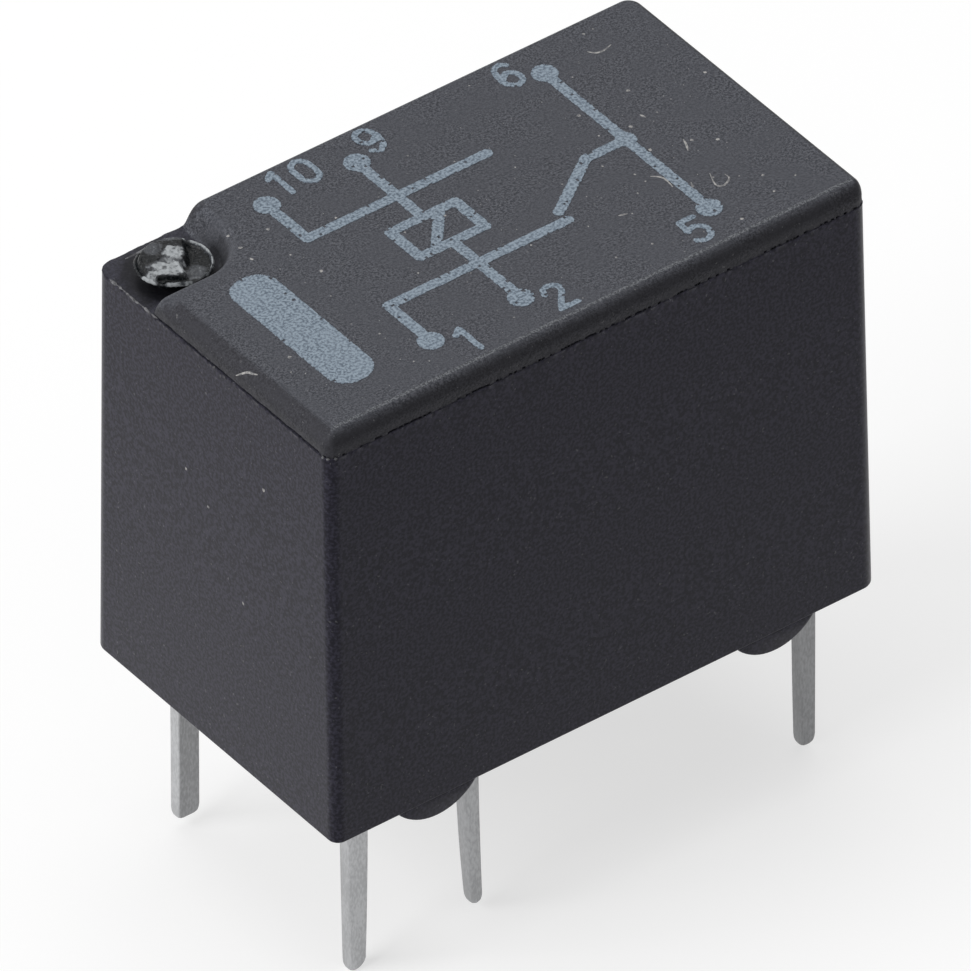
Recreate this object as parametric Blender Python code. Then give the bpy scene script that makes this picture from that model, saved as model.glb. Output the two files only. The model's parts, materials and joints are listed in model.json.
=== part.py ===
"""Sealed changeover signal relay for printed circuit boards.

Origin: the centre of the pin grid, on the sealed flat underside.
X runs along the case towards the common pins, Y across it, Z up.
Sizes are named in millimetres; meshes are made in metres.
"""

import bpy
import bmesh
from math import acos, atan2, ceil, cos, hypot, pi, radians, sin, sqrt
from mathutils import Matrix, Vector

MM = 0.001

# Pins: a stamped strip on the common 2.54 mm grid
GRID = 2.54
STRIP = 0.28
PIN_WIDTH = 0.46
PIN_TIP_WIDTH = 0.34
PIN_EDGE = 0.05
SHOULDER = 0.06
ARM_CORNER = 0.32
PIN_1_BELOW = 4.10
PIN_2_BELOW = 3.92
PIN_5_BELOW = 4.04
PIN_6_BELOW = 3.98
PIN_9_BELOW = 3.93
PIN_10_BELOW = 3.96
PIN_2_BEND = 0.11

# Cover
MARGIN_CONTACT_END = 1.19
MARGIN_COMMON_END = 0.85
MARGIN_SIDE = 1.09
LEDGE_HEIGHT = 8.69
BLOCK_HEIGHT = 0.47
BLOCK_INSET = 0.025
BLOCK_EDGE_RADIUS = 0.15
BLOCK_EDGE_STEPS = 3
DRAFT_END = 0.085
DRAFT_SIDE = 0.155
CORNER_RADIUS = 0.32
WALL_END = 0.40
WALL_SIDE = 0.35
ROOF = 0.55
NOTCH_FLOOR_WALL = 0.44
NOTCH_LENGTH = 1.90
NOTCH_WIDTH = 1.86
NOTCH_CORNER_RADIUS = 0.75
NOTCH_SLOPE = 0.28
NUB_RADIUS = 0.72
NUB_RIM = 0.05
NUB_STEM_RADIUS = 0.46
NUB_STEM_HEIGHT = 0.16
NUB_HEIGHT = 0.40
NUB_TO_END = 0.995
NUB_TO_SIDE = 1.00
STANDOFF_CHORD = 1.744
STANDOFF_DEPTH = 0.44
STANDOFF_SPACING = 7.60
STANDOFF_SETBACK = 0.02
STANDOFF_ROOT = 0.15

# Base and seal
SEAL_DEPTH = 0.35
BASE_THICKNESS = 0.90
SLIP = 0.02
TIGHT = 0.01
RAIL_HEIGHT = 1.90
RAIL_WALL = 0.34
RAIL_END_WALL = 0.20
BARRIER_THICKNESS = 0.30
BARRIER_DROP = 0.30
COVER_GAP = 0.05

# Magnet
YOKE_THICKNESS = 0.65
YOKE_BACK_SETBACK = 0.78
YOKE_BEND = 0.20
YOKE_FOOT_OVERHANG = 0.55
FLANGE_THICKNESS = 0.38
FLANGE_LIP = 0.28
FLANGE_CLEAR = 0.20
FLANGE_CORNER = 0.5
TUBE_WALL = 0.30
WINDING_CLEAR = 0.06
WINDING_RIDGES = 14
WINDING_RIDGE_DEPTH = 0.05
CORE_RADIUS = 1.05
CORE_STAKE_RADIUS = 0.80
POLE_RADIUS = 1.75
POLE_HEIGHT = 0.38
BLOCK_WALL = 0.24

# Armature, leaf and contacts
REST_ANGLE = radians(3.0)
CLOSED_GAP = 0.02
ARMATURE_THICKNESS = 0.60
ARMATURE_LENGTH = 7.00
ARMATURE_HEEL_WIDTH = 4.40
ARMATURE_FRONT_WIDTH = 3.20
ARMATURE_CORNER = 0.30
BOSS_RADIUS = 0.28
BOSS_HEIGHT = 0.16
BOSS_FROM_HEEL = 1.50
BOSS_FROM_FRONT = 1.20
BOSS_TO_WINDOW = 0.45
LEAF_THICKNESS = 0.08
LEAF_WIDTH = 3.00
LEAF_NECK_WIDTH = 1.20
LEAF_CONTACT_WIDTH = 1.60
LEAF_BACK_WIDTH = 2.80
LEAF_WINDOW_WIDTH = 1.10
LEAF_WINDOW_REACH = 0.45
LEAF_JOGGLE = 0.45
LEAF_JOGGLE_ANGLE = radians(40.0)
LEAF_JOGGLE_RADIUS = 0.25
LEAF_JOGGLE_START = 0.15
LEAF_BEND_START = 0.05
LEAF_BEND_RADIUS = 0.30
LEAF_LEAN = radians(10.0)
LEAF_LEAN_RADIUS = 0.50
LEAF_FOOT = 1.50
STUD_RADIUS = 0.26
STUD_HEIGHT = 0.12
STUD_SPREAD = 0.80
CONTACT_ARM_WIDTH = 1.45
CONTACT_ARM_OUTSET = 0.14
CONTACT_ARM_OVERREACH = 0.75
CONTACT_ARM_BEND = 0.29
CONTACT_RADIUS = 0.65
CONTACT_HEIGHT = 0.25
CONTACT_TAIL = 0.12
CONTACT_SHANK = 0.32
MOVING_RADIUS = 0.60
MOVING_HEIGHT = 0.22
MOVING_DOME = 0.08
CONTACT_GAP = 0.02
HEADROOM = 0.20

# How far a cutter reaches past what it cuts
CUT_PAST = 0.5

# Coil terminals and leads
POST_WIDTH = 0.32
POST_HEIGHT = 1.60
BARB_WIDTH = 0.62
LEAD_RADIUS = 0.05
LEAD_TURNS = 4
LEAD_PITCH = 0.16

# Common terminals
COMMON_PLATE_HEIGHT = 2.30
COMMON_PLATE_LOW = 0.90
COMMON_PLATE_SLANT = 0.60
COMMON_PLATE_SETBACK = 0.06
COMMON_PLATE_TOP_SHARE = 0.65

# Places worked out from the sizes
contact_pin_x = -2 * GRID
coil_pin_x = -GRID
common_pin_x = 2 * GRID
row_y = GRID
cover_x0 = contact_pin_x - MARGIN_CONTACT_END
cover_x1 = common_pin_x + MARGIN_COMMON_END
cover_centre_x = (cover_x0 + cover_x1) / 2
cover_half_y = row_y + MARGIN_SIDE
cover_top = LEDGE_HEIGHT + BLOCK_HEIGHT
cavity_top = cover_top - ROOF
pad_z = LEDGE_HEIGHT - NOTCH_FLOOR_WALL
notch_x1 = cover_x0 + DRAFT_END + NOTCH_LENGTH
notch_y0 = cover_half_y - DRAFT_SIDE - NOTCH_WIDTH
cavity_half_y = cover_half_y - WALL_SIDE
cavity_half_y_top = cavity_half_y - DRAFT_SIDE

base_z = SEAL_DEPTH + SLIP
base_top = base_z + BASE_THICKNESS
foot_z = base_top + SLIP
foot_top = foot_z + YOKE_THICKNESS
flange_z = foot_top + SLIP
flange_top = flange_z + FLANGE_THICKNESS

plate_outer_x = contact_pin_x - PIN_WIDTH / 2 - CONTACT_ARM_OUTSET
plate_inner_x = plate_outer_x + CONTACT_ARM_WIDTH
contact_x = (plate_outer_x + plate_inner_x) / 2
yoke_back_x = common_pin_x - YOKE_BACK_SETBACK
yoke_front_x = yoke_back_x - YOKE_THICKNESS
yoke_half_y = row_y - STRIP / 2 - SLIP
reach = yoke_back_x - contact_x

leaf_mid = ARMATURE_THICKNESS + TIGHT + LEAF_THICKNESS / 2
leaf_contact_mid = leaf_mid - LEAF_JOGGLE
moving_face = LEAF_THICKNESS / 2 + TIGHT + MOVING_HEIGHT

upper_arm_top = pad_z - HEADROOM - CONTACT_TAIL - TIGHT
upper_arm_mid = upper_arm_top - STRIP / 2
upper_contact_face = upper_arm_top - STRIP - TIGHT - CONTACT_HEIGHT
pivot_z = (upper_contact_face - CONTACT_GAP - reach * sin(REST_ANGLE)
           - (leaf_contact_mid + moving_face) * cos(REST_ANGLE))
pole_top = pivot_z - CLOSED_GAP
pole_z = pole_top - POLE_HEIGHT
upper_flange_top = pole_z - SLIP
upper_flange_z = upper_flange_top - FLANGE_THICKNESS
lower_contact_face = pivot_z + leaf_contact_mid - moving_face - CONTACT_GAP
lower_arm_top = lower_contact_face - CONTACT_HEIGHT - TIGHT
lower_arm_mid = lower_arm_top - STRIP / 2

flange_half_y = cavity_half_y_top - FLANGE_CLEAR
winding_radius = flange_half_y - FLANGE_LIP
flange_x1 = yoke_front_x - YOKE_BEND
coil_x = flange_x1 - WINDING_CLEAR - winding_radius
tube_radius = CORE_RADIUS + SLIP + TUBE_WALL
block_x0 = coil_pin_x - BARB_WIDTH / 2 - BLOCK_WALL
barrier_x1 = block_x0 - SLIP
barrier_x0 = barrier_x1 - BARRIER_THICKNESS
post_z = flange_top + POST_HEIGHT


def material(name, colour, roughness, metallic=0.0):
    """Make a Principled material."""
    made = bpy.data.materials.new(name)
    made.use_nodes = True
    shader = made.node_tree.nodes["Principled BSDF"]
    shader.inputs["Base Color"].default_value = (*colour, 1.0)
    shader.inputs["Roughness"].default_value = roughness
    shader.inputs["Metallic"].default_value = metallic
    return made


def add_object(name, bm, look, smooth_angle=None, parent=None):
    """Turn a bmesh in millimetres into an object in metres."""
    bmesh.ops.recalc_face_normals(bm, faces=bm.faces)
    bmesh.ops.scale(bm, vec=(MM, MM, MM), verts=bm.verts)
    mesh = bpy.data.meshes.new(name)
    bm.to_mesh(mesh)
    bm.free()
    if smooth_angle is not None:
        mesh.shade_smooth()
        mesh.set_sharp_from_angle(angle=smooth_angle)
    if look is not None:
        mesh.materials.append(look)
    made = bpy.data.objects.new(name, mesh)
    bpy.context.scene.collection.objects.link(made)
    made.parent = parent
    return made


def combine(target, name, bm, operation, parent=None):
    """Join a shape to an object, or cut it out, with a hidden guide object."""
    guide = add_object(name, bm, None, parent=parent)
    guide.hide_render = True
    guide.display_type = "WIRE"
    step = target.modifiers.new(name, "BOOLEAN")
    step.operation = operation
    step.solver = "EXACT"
    step.object = guide


def arc(centre, radius, start, end, steps):
    """Points on an arc, from one angle to the other."""
    return [
        (centre[0] + radius * cos(start + (end - start) * i / steps),
         centre[1] + radius * sin(start + (end - start) * i / steps))
        for i in range(steps + 1)
    ]


def rounded_rectangle(x0, x1, y0, y1, radius, steps=4):
    """Outline of a rectangle with round corners, counter-clockwise."""
    corners = [
        (x1 - radius, y1 - radius, 0),
        (x0 + radius, y1 - radius, 1),
        (x0 + radius, y0 + radius, 2),
        (x1 - radius, y0 + radius, 3),
    ]
    points = []
    for x, y, quarter in corners:
        points += arc((x, y), radius, quarter * pi / 2, (quarter + 1) * pi / 2, steps)
    return points


def loft(rings):
    """Closed body through rings of as many points each."""
    bm = bmesh.new()
    rows = [[bm.verts.new(point) for point in ring] for ring in rings]
    count = len(rows[0])
    for lower, upper in zip(rows, rows[1:]):
        for i in range(count):
            j = (i + 1) % count
            bm.faces.new((lower[i], lower[j], upper[j], upper[i]))
    bm.faces.new(list(reversed(rows[0])))
    bm.faces.new(rows[-1])
    return bm


def prism(outline, low, high, axis="Z"):
    """Outline pushed along an axis: XY along Z, XZ along Y or YZ along X."""
    place = {
        "Z": lambda a, b, h: (a, b, h),
        "Y": lambda a, b, h: (a, h, b),
        "X": lambda a, b, h: (h, a, b),
    }[axis]
    return loft([[place(a, b, h) for a, b in outline] for h in (low, high)])


def box(x0, x1, y0, y1, z0, z1):
    """Plain block."""
    return prism([(x0, y0), (x1, y0), (x1, y1), (x0, y1)], z0, z1)


def turned(profile, segments, centre=(0.0, 0.0), ring=False):
    """Body turned about a vertical axis from (radius, height) points.

    A plain profile starts and ends on the axis; a ring profile is a closed loop.
    """
    bm = bmesh.new()
    rows = []
    for radius, height in profile:
        if radius == 0.0:
            rows.append([bm.verts.new((centre[0], centre[1], height))] * segments)
        else:
            rows.append([
                bm.verts.new((centre[0] + radius * cos(2 * pi * i / segments),
                              centre[1] + radius * sin(2 * pi * i / segments), height))
                for i in range(segments)
            ])
    pairs = list(zip(rows, rows[1:]))
    if ring:
        pairs.append((rows[-1], rows[0]))
    for lower, upper in pairs:
        for i in range(segments):
            j = (i + 1) % segments
            corners = []
            for vertex in (lower[i], lower[j], upper[j], upper[i]):
                if vertex not in corners:
                    corners.append(vertex)
            bm.faces.new(corners)
    return bm


def rod(radius, z0, z1, centre, segments=16):
    """Upright cylinder."""
    return turned([(0.0, z0), (radius, z0), (radius, z1), (0.0, z1)], segments, centre)


def walk(start, heading, moves, distance):
    """Point and heading after a distance along lines and arcs.

    A move is (length, None) for a line, or (radius, turn) for an arc.
    """
    u, v = start
    for size, turn in moves:
        length = size if turn is None else size * abs(turn)
        part = min(distance, length)
        if turn is None:
            u += part * cos(heading)
            v += part * sin(heading)
        else:
            side = 1.0 if turn > 0 else -1.0
            swept = side * part / size
            u += side * size * (sin(heading + swept) - sin(heading))
            v -= side * size * (cos(heading + swept) - cos(heading))
            heading += swept
        distance -= part
        if distance <= 1e-9:
            break
    return (u, v), heading


def arc_stations(moves, step):
    """Distances at which the arcs of a path are to be divided."""
    stations = []
    passed = 0.0
    for size, turn in moves:
        length = size if turn is None else size * abs(turn)
        if turn is not None:
            count = max(1, ceil(abs(turn) / step))
            stations += [passed + length * i / count for i in range(count + 1)]
        passed += length
    return stations


def width_at(rows, station):
    """Middle and half width at a distance, between the given rows."""
    for (s0, c0, h0), (s1, c1, h1) in zip(rows, rows[1:]):
        if s0 <= station <= s1:
            share = (station - s0) / (s1 - s0)
            return c0 + (c1 - c0) * share, h0 + (h1 - h0) * share
    return rows[-1][1:]


def folded_strip(start, heading, moves, rows, thickness, edge, place, step=radians(15)):
    """Strip of sheet that follows a path; rows give (distance, middle, half width)."""
    stations = sorted({row[0] for row in rows} | set(arc_stations(moves, step)))
    kept = [stations[0]]
    for station in stations[1:]:
        if station - kept[-1] > 1e-4:
            kept.append(station)
    half = thickness / 2
    rings = []
    for station in kept:
        (u, v), angle = walk(start, heading, moves, station)
        middle, width = width_at(rows, station)
        normal = (-sin(angle), cos(angle))
        if edge > 0:
            section = [
                (-width + edge, -half), (width - edge, -half),
                (width, -half + edge), (width, half - edge),
                (width - edge, half), (-width + edge, half),
                (-width, half - edge), (-width, -half + edge),
            ]
        else:
            section = [(-width, -half), (width, -half), (width, half), (-width, half)]
        rings.append([
            place(middle + w, u + n * normal[0], v + n * normal[1])
            for w, n in section
        ])
    return loft(rings)


def pin_rows(x, below, bend=0.0):
    """Rows of a pin, from its rounded tip up to the underside of the base."""
    tip = PIN_TIP_WIDTH / 2
    body = PIN_WIDTH / 2
    return [
        (0.0, x + bend, tip * 0.55),
        (0.05, x + bend, tip * 0.85),
        (0.13, x + bend, tip),
        (below * 0.25, x + bend * 0.62, tip + (body - tip) * 0.55),
        (below * 0.6, x + bend * 0.15, body),
        (below, x, body),
    ]


def across_x(w, u, v):
    """Strip whose width lies along X and whose path lies in the YZ plane."""
    return (w, u, v)


def across_y(w, u, v):
    """Strip whose width lies along Y and whose path lies in the XZ plane."""
    return (u, w, v)


def contact_terminal(name, side, below, arm_mid, look):
    """Pin, wide leg in a rail and an arm folded across towards the other side."""
    leg = arm_mid - CONTACT_ARM_BEND + below
    arm = row_y - CONTACT_ARM_BEND + CONTACT_ARM_OVERREACH
    bend = CONTACT_ARM_BEND * pi / 2
    half = CONTACT_ARM_WIDTH / 2
    shoulder = below + foot_z
    end = leg + bend + arm
    rows = pin_rows(contact_pin_x, below)
    rows += [
        (shoulder, contact_pin_x, PIN_WIDTH / 2),
        (shoulder + SHOULDER, contact_x, half),
        (end - ARM_CORNER, contact_x, half),
        (end - ARM_CORNER * 0.3, contact_x, half - ARM_CORNER * 0.3),
        (end, contact_x, half - ARM_CORNER),
    ]
    moves = [(leg, None), (CONTACT_ARM_BEND, side * pi / 2), (arm, None)]
    blank = folded_strip((side * row_y, -below), pi / 2, moves, rows,
                         STRIP, PIN_EDGE, across_x)
    made = add_object(name, blank, look)
    hole = rod(CONTACT_SHANK + TIGHT, arm_mid - STRIP, arm_mid + STRIP, (contact_x, 0.0))
    combine(made, name + "_hole", hole, "DIFFERENCE")
    return made


def coil_terminal(name, side, below, bend, look):
    """Pin with a barb in the bobbin's block and a post for the wire."""
    length = below + post_z
    barb = below + foot_z + TIGHT
    flange = below + flange_top
    rows = pin_rows(coil_pin_x, below, bend)
    rows += [
        (barb, coil_pin_x, PIN_WIDTH / 2),
        (barb + SHOULDER, coil_pin_x, BARB_WIDTH / 2),
        (flange - SHOULDER, coil_pin_x, BARB_WIDTH / 2),
        (flange, coil_pin_x, POST_WIDTH / 2),
        (length - SHOULDER, coil_pin_x, POST_WIDTH / 2),
        (length, coil_pin_x, POST_WIDTH / 2 - PIN_EDGE),
    ]
    blank = folded_strip((side * row_y, -below), pi / 2, [(length, None)], rows,
                         STRIP, PIN_EDGE, across_x)
    return add_object(name, blank, look)


def common_terminal(name, side, below, look):
    """Pin with a plate that is welded to the edge of the yoke's leg."""
    shoulder = below + foot_z
    length = shoulder + COMMON_PLATE_HEIGHT
    x0 = yoke_front_x + COMMON_PLATE_SETBACK
    x1 = common_pin_x + PIN_WIDTH / 2
    middle = (x0 + x1) / 2
    half = (x1 - x0) / 2
    upper_half = half * COMMON_PLATE_TOP_SHARE
    upper_middle = x0 + upper_half
    rows = pin_rows(common_pin_x, below)
    rows += [
        (shoulder, common_pin_x, PIN_WIDTH / 2),
        (shoulder + SHOULDER, middle, half),
        (shoulder + COMMON_PLATE_LOW, middle, half),
        (shoulder + COMMON_PLATE_LOW + COMMON_PLATE_SLANT, upper_middle, upper_half),
        (length, upper_middle, upper_half),
    ]
    blank = folded_strip((side * row_y, -below), pi / 2, [(length, None)], rows,
                         STRIP, PIN_EDGE, across_x)
    return add_object(name, blank, look)


def pin_slot(x, side, z0, z1, width=PIN_WIDTH):
    """Space for a pin or a plate, with a tight gap round it."""
    half_x = width / 2 + TIGHT
    half_y = STRIP / 2 + TIGHT
    y = side * row_y
    return box(x - half_x, x + half_x, y - half_y, y + half_y, z0, z1)


def cover_ring(z, inset_x, inset_y, radius):
    """One level of the cover's outer skin."""
    outline = rounded_rectangle(
        cover_x0 + inset_x, cover_x1 - inset_x,
        -cover_half_y + inset_y, cover_half_y - inset_y, radius)
    return [(x, y, z) for x, y in outline]


def cavity_ring(z, gap):
    """One level of the space inside the cover, less a gap."""
    height = z / LEDGE_HEIGHT
    outline_radius = max(CORNER_RADIUS - WALL_SIDE / 2, gap + TIGHT)
    return cover_ring(z, WALL_END + DRAFT_END * height + gap,
                      WALL_SIDE + DRAFT_SIDE * height + gap, outline_radius)


def notch_shape():
    """Space of the corner notch, with a sloping round wall towards the top face."""
    outer_x = cover_x0 - CUT_PAST
    outer_y = cover_half_y + CUT_PAST
    rings = []
    for z, rise in ((LEDGE_HEIGHT - TIGHT, 0.0), (cover_top + BLOCK_HEIGHT, 2.0)):
        run = NOTCH_SLOPE * rise
        radius = NOTCH_CORNER_RADIUS + run
        corner = arc((notch_x1 + run - radius, notch_y0 + radius), radius, -pi / 2, 0.0, 6)
        outline = [(outer_x, outer_y), (outer_x, notch_y0)]
        outline += corner + [(notch_x1 + run, outer_y)]
        rings.append([(x, y, z) for x, y in outline])
    return loft(rings)


def nub_shape():
    """Vent nib melted shut: a stem, a thin flared rim and a low dome."""
    rim_z = LEDGE_HEIGHT + NUB_STEM_HEIGHT
    top_z = LEDGE_HEIGHT + NUB_HEIGHT
    profile = [
        (0.0, LEDGE_HEIGHT - NUB_STEM_HEIGHT), (NUB_STEM_RADIUS, LEDGE_HEIGHT - NUB_STEM_HEIGHT),
        (NUB_STEM_RADIUS, rim_z), (NUB_RADIUS, rim_z + NUB_RIM), (NUB_RADIUS, rim_z + 2 * NUB_RIM),
        (NUB_RADIUS * 0.85, rim_z + 2 * NUB_RIM), (NUB_RADIUS * 0.6, top_z - NUB_RIM),
        (NUB_RADIUS * 0.3, top_z), (0.0, top_z),
    ]
    centre = (cover_x0 + DRAFT_END + NUB_TO_END, cover_half_y - DRAFT_SIDE - NUB_TO_SIDE)
    return turned(profile, 20, centre)


def build_cover(look):
    """Moulded cover with draft, top block, notch, vent nub and standoffs."""
    rings = [
        cover_ring(0.0, 0.0, 0.0, CORNER_RADIUS),
        cover_ring(LEDGE_HEIGHT, DRAFT_END, DRAFT_SIDE, CORNER_RADIUS),
    ]
    inset_x = DRAFT_END + BLOCK_INSET
    inset_y = DRAFT_SIDE + BLOCK_INSET
    block_radius = CORNER_RADIUS - BLOCK_INSET
    rings.append(cover_ring(LEDGE_HEIGHT + TIGHT, inset_x, inset_y, block_radius))
    edge_z = cover_top - BLOCK_EDGE_RADIUS
    for i in range(BLOCK_EDGE_STEPS + 1):
        turn = i * pi / 2 / BLOCK_EDGE_STEPS
        back = BLOCK_EDGE_RADIUS * (1 - cos(turn))
        rings.append(cover_ring(edge_z + BLOCK_EDGE_RADIUS * sin(turn),
                                inset_x + back, inset_y + back, block_radius - back))
    made = add_object("cover", loft(rings), look)

    cavity = loft([cavity_ring(z, 0.0) for z in (-CUT_PAST, cavity_top)])
    combine(made, "cover_cavity", cavity, "DIFFERENCE")

    pad = box(cover_x0 + WALL_END / 2, notch_x1 + NOTCH_FLOOR_WALL,
              notch_y0 - NOTCH_FLOOR_WALL, cover_half_y - DRAFT_SIDE - WALL_SIDE / 2,
              pad_z, LEDGE_HEIGHT + BLOCK_HEIGHT / 4)
    combine(made, "cover_pad", pad, "UNION")
    combine(made, "cover_notch", notch_shape(), "DIFFERENCE")
    combine(made, "cover_vent_nub", nub_shape(), "UNION")

    half = STANDOFF_CHORD / 2
    radius = (half * half + STANDOFF_DEPTH * STANDOFF_DEPTH) / (2 * STANDOFF_DEPTH)
    centre_z = radius - STANDOFF_DEPTH
    swing = acos((centre_z - STANDOFF_ROOT) / radius)
    for end in (-1, 1):
        x = cover_centre_x + end * STANDOFF_SPACING / 2
        lobe = arc((x, centre_z), radius, -pi / 2 - swing, -pi / 2 + swing, 11)
        for side in (-1, 1):
            outer = side * (cover_half_y - STANDOFF_SETBACK)
            inner_y = side * (cavity_half_y + STANDOFF_SETBACK)
            shape = prism(lobe, min(outer, inner_y), max(outer, inner_y), "Y")
            label = "cover_standoff_%d%d" % (end + 1, side + 1)
            combine(made, label, shape, "UNION")
    return made


def fitted_plate(z0, z1, gap):
    """Plate that fills the cover's mouth, less a gap."""
    return loft([cavity_ring(z, gap) for z in (z0, z1)])


def all_pins():
    """Grid place of every pin, with its side of the case."""
    return [(x, side) for x in (contact_pin_x, coil_pin_x, common_pin_x)
            for side in (-1, 1)]


def build_seal(look):
    """Poured resin under the base, flush with the cover's rim."""
    made = add_object("seal", fitted_plate(0.0, SEAL_DEPTH, TIGHT), look)
    for number, (x, side) in enumerate(all_pins()):
        combine(made, "seal_slot_%d" % number, pin_slot(x, side, -CUT_PAST, SEAL_DEPTH + CUT_PAST),
                "DIFFERENCE")
    return made


def build_base(look):
    """Moulded plate with rails for the contact terminals and a barrier wall."""
    made = add_object("base", fitted_plate(base_z, base_top, COVER_GAP), look)
    rail_x0 = plate_outer_x - TIGHT - RAIL_END_WALL
    rail_x1 = plate_inner_x + TIGHT + RAIL_END_WALL
    root_z = base_top - BASE_THICKNESS / 4
    rail_half = STRIP / 2 + TIGHT + RAIL_WALL
    rail_top = base_top + RAIL_HEIGHT
    for side in (-1, 1):
        y = side * row_y
        rail = box(rail_x0, rail_x1, y - rail_half, y + rail_half, root_z, rail_top)
        combine(made, "base_rail_%d" % (side + 1), rail, "UNION")
    barrier_top = lower_arm_top - BARRIER_DROP
    barrier = box(barrier_x0, barrier_x1, -cavity_half_y_top + COVER_GAP,
                  cavity_half_y_top - COVER_GAP, root_z, barrier_top)
    combine(made, "base_barrier", barrier, "UNION")
    stop_x0 = yoke_back_x + SLIP
    stop = box(stop_x0, common_pin_x + PIN_WIDTH / 2, -yoke_half_y + RAIL_WALL,
               yoke_half_y - RAIL_WALL, root_z, foot_top + YOKE_BEND)
    combine(made, "base_heel_stop", stop, "UNION")
    for number, (x, side) in enumerate(all_pins()):
        combine(made, "base_slot_%d" % number,
                pin_slot(x, side, base_z - CUT_PAST, foot_z + SLIP), "DIFFERENCE")
    for side in (-1, 1):
        plate = pin_slot(contact_x, side, base_top + TIGHT, rail_top + CUT_PAST,
                         CONTACT_ARM_WIDTH)
        combine(made, "base_plate_slot_%d" % (side + 1), plate, "DIFFERENCE")
    return made


def build_bobbin(look):
    """Coil former: tube, two flanges and the blocks that hold the coil terminals."""
    lower = prism(rounded_rectangle(block_x0, flange_x1, -flange_half_y, flange_half_y,
                                    FLANGE_CORNER * 0.5, 3), flange_z, flange_top)
    made = add_object("bobbin", lower, look)
    tube = rod(tube_radius, flange_top - FLANGE_THICKNESS / 4,
               upper_flange_z + FLANGE_THICKNESS / 4, (coil_x, 0.0), 24)
    combine(made, "bobbin_tube", tube, "UNION")
    upper_x0 = coil_x - winding_radius - FLANGE_LIP * 0.5
    upper = prism(rounded_rectangle(upper_x0, flange_x1, -flange_half_y, flange_half_y,
                                    FLANGE_CORNER, 3), upper_flange_z, upper_flange_top)
    combine(made, "bobbin_upper_flange", upper, "UNION")
    half = STRIP / 2 + BLOCK_WALL
    for side in (-1, 1):
        y = side * row_y
        block = box(block_x0, coil_pin_x + BARB_WIDTH / 2 + BLOCK_WALL,
                    max(y - half, -flange_half_y), min(y + half, flange_half_y),
                    foot_z, flange_z + FLANGE_THICKNESS / 4)
        combine(made, "bobbin_block_%d" % (side + 1), block, "UNION")
    bore = rod(CORE_RADIUS + SLIP, foot_z, upper_flange_top + CUT_PAST,
               (coil_x, 0.0), 24)
    combine(made, "bobbin_bore", bore, "DIFFERENCE")
    for side in (-1, 1):
        slot = pin_slot(coil_pin_x, side, foot_z - CUT_PAST, flange_top + CUT_PAST, BARB_WIDTH)
        combine(made, "bobbin_slot_%d" % (side + 1), slot, "DIFFERENCE")
    return made


def build_winding(look):
    """Wire wound on the former, its outside ridged by the turns."""
    z0 = flange_top + SLIP
    z1 = upper_flange_z - SLIP
    pitch = (z1 - z0) / WINDING_RIDGES
    outside = []
    for i in range(WINDING_RIDGES):
        outside.append((winding_radius - WINDING_RIDGE_DEPTH, z0 + pitch * i))
        outside.append((winding_radius, z0 + pitch * (i + 0.5)))
    outside.append((winding_radius - WINDING_RIDGE_DEPTH, z1))
    inside = [(tube_radius + SLIP, z1), (tube_radius + SLIP, z0)]
    return add_object("coil_winding",
                      turned(outside + inside, 28, (coil_x, 0.0), ring=True),
                      look, radians(50))


def build_core(look):
    """Turned core, staked in the yoke's foot, with the pole head on top."""
    chamfer = 0.08
    profile = [
        (0.0, foot_z), (CORE_STAKE_RADIUS - chamfer, foot_z),
        (CORE_STAKE_RADIUS, foot_z + chamfer), (CORE_STAKE_RADIUS, foot_top + TIGHT),
        (CORE_RADIUS, foot_top + TIGHT), (CORE_RADIUS, pole_z),
        (POLE_RADIUS, pole_z), (POLE_RADIUS, pole_top - chamfer),
        (POLE_RADIUS - chamfer, pole_top), (0.0, pole_top),
    ]
    return add_object("core", turned(profile, 24, (coil_x, 0.0)), look, radians(40))


def build_yoke(look):
    """Folded L: a foot under the coil and a leg behind it, with two studs."""
    x0 = coil_x - CORE_STAKE_RADIUS - YOKE_FOOT_OVERHANG
    outer = YOKE_BEND + YOKE_THICKNESS
    outline = [(x0, foot_z)]
    outline += arc((yoke_back_x - outer, foot_z + outer), outer, -pi / 2, 0.0, 5)
    outline += [(yoke_back_x, pole_top), (yoke_front_x, pole_top)]
    outline += arc((yoke_front_x - YOKE_BEND, foot_top + YOKE_BEND), YOKE_BEND, 0.0, -pi / 2, 3)
    outline += [(x0, foot_top)]
    made = add_object("yoke", prism(outline, -yoke_half_y, yoke_half_y, "Y"), look)
    hole = rod(CORE_STAKE_RADIUS + TIGHT, foot_z - CUT_PAST, foot_top + CUT_PAST,
               (coil_x, 0.0), 24)
    combine(made, "yoke_hole", hole, "DIFFERENCE")
    for side in (-1, 1):
        combine(made, "yoke_stud_%d" % (side + 1),
                lying_rod(STUD_RADIUS, yoke_back_x - YOKE_THICKNESS / 4,
                          yoke_back_x + LEAF_THICKNESS + 2 * TIGHT + STUD_HEIGHT,
                          side * STUD_SPREAD, stud_z), "UNION")
    return made


def lying_rod(radius, x0, x1, y, z):
    """Cylinder along X."""
    bm = turned([(0.0, x0), (radius, x0), (radius, x1), (0.0, x1)], 14)
    bmesh.ops.rotate(bm, verts=bm.verts, cent=(0, 0, 0), matrix=Matrix.Rotation(pi / 2, 3, "Y"))
    bmesh.ops.translate(bm, verts=bm.verts, vec=(0.0, y, z))
    return bm


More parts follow.
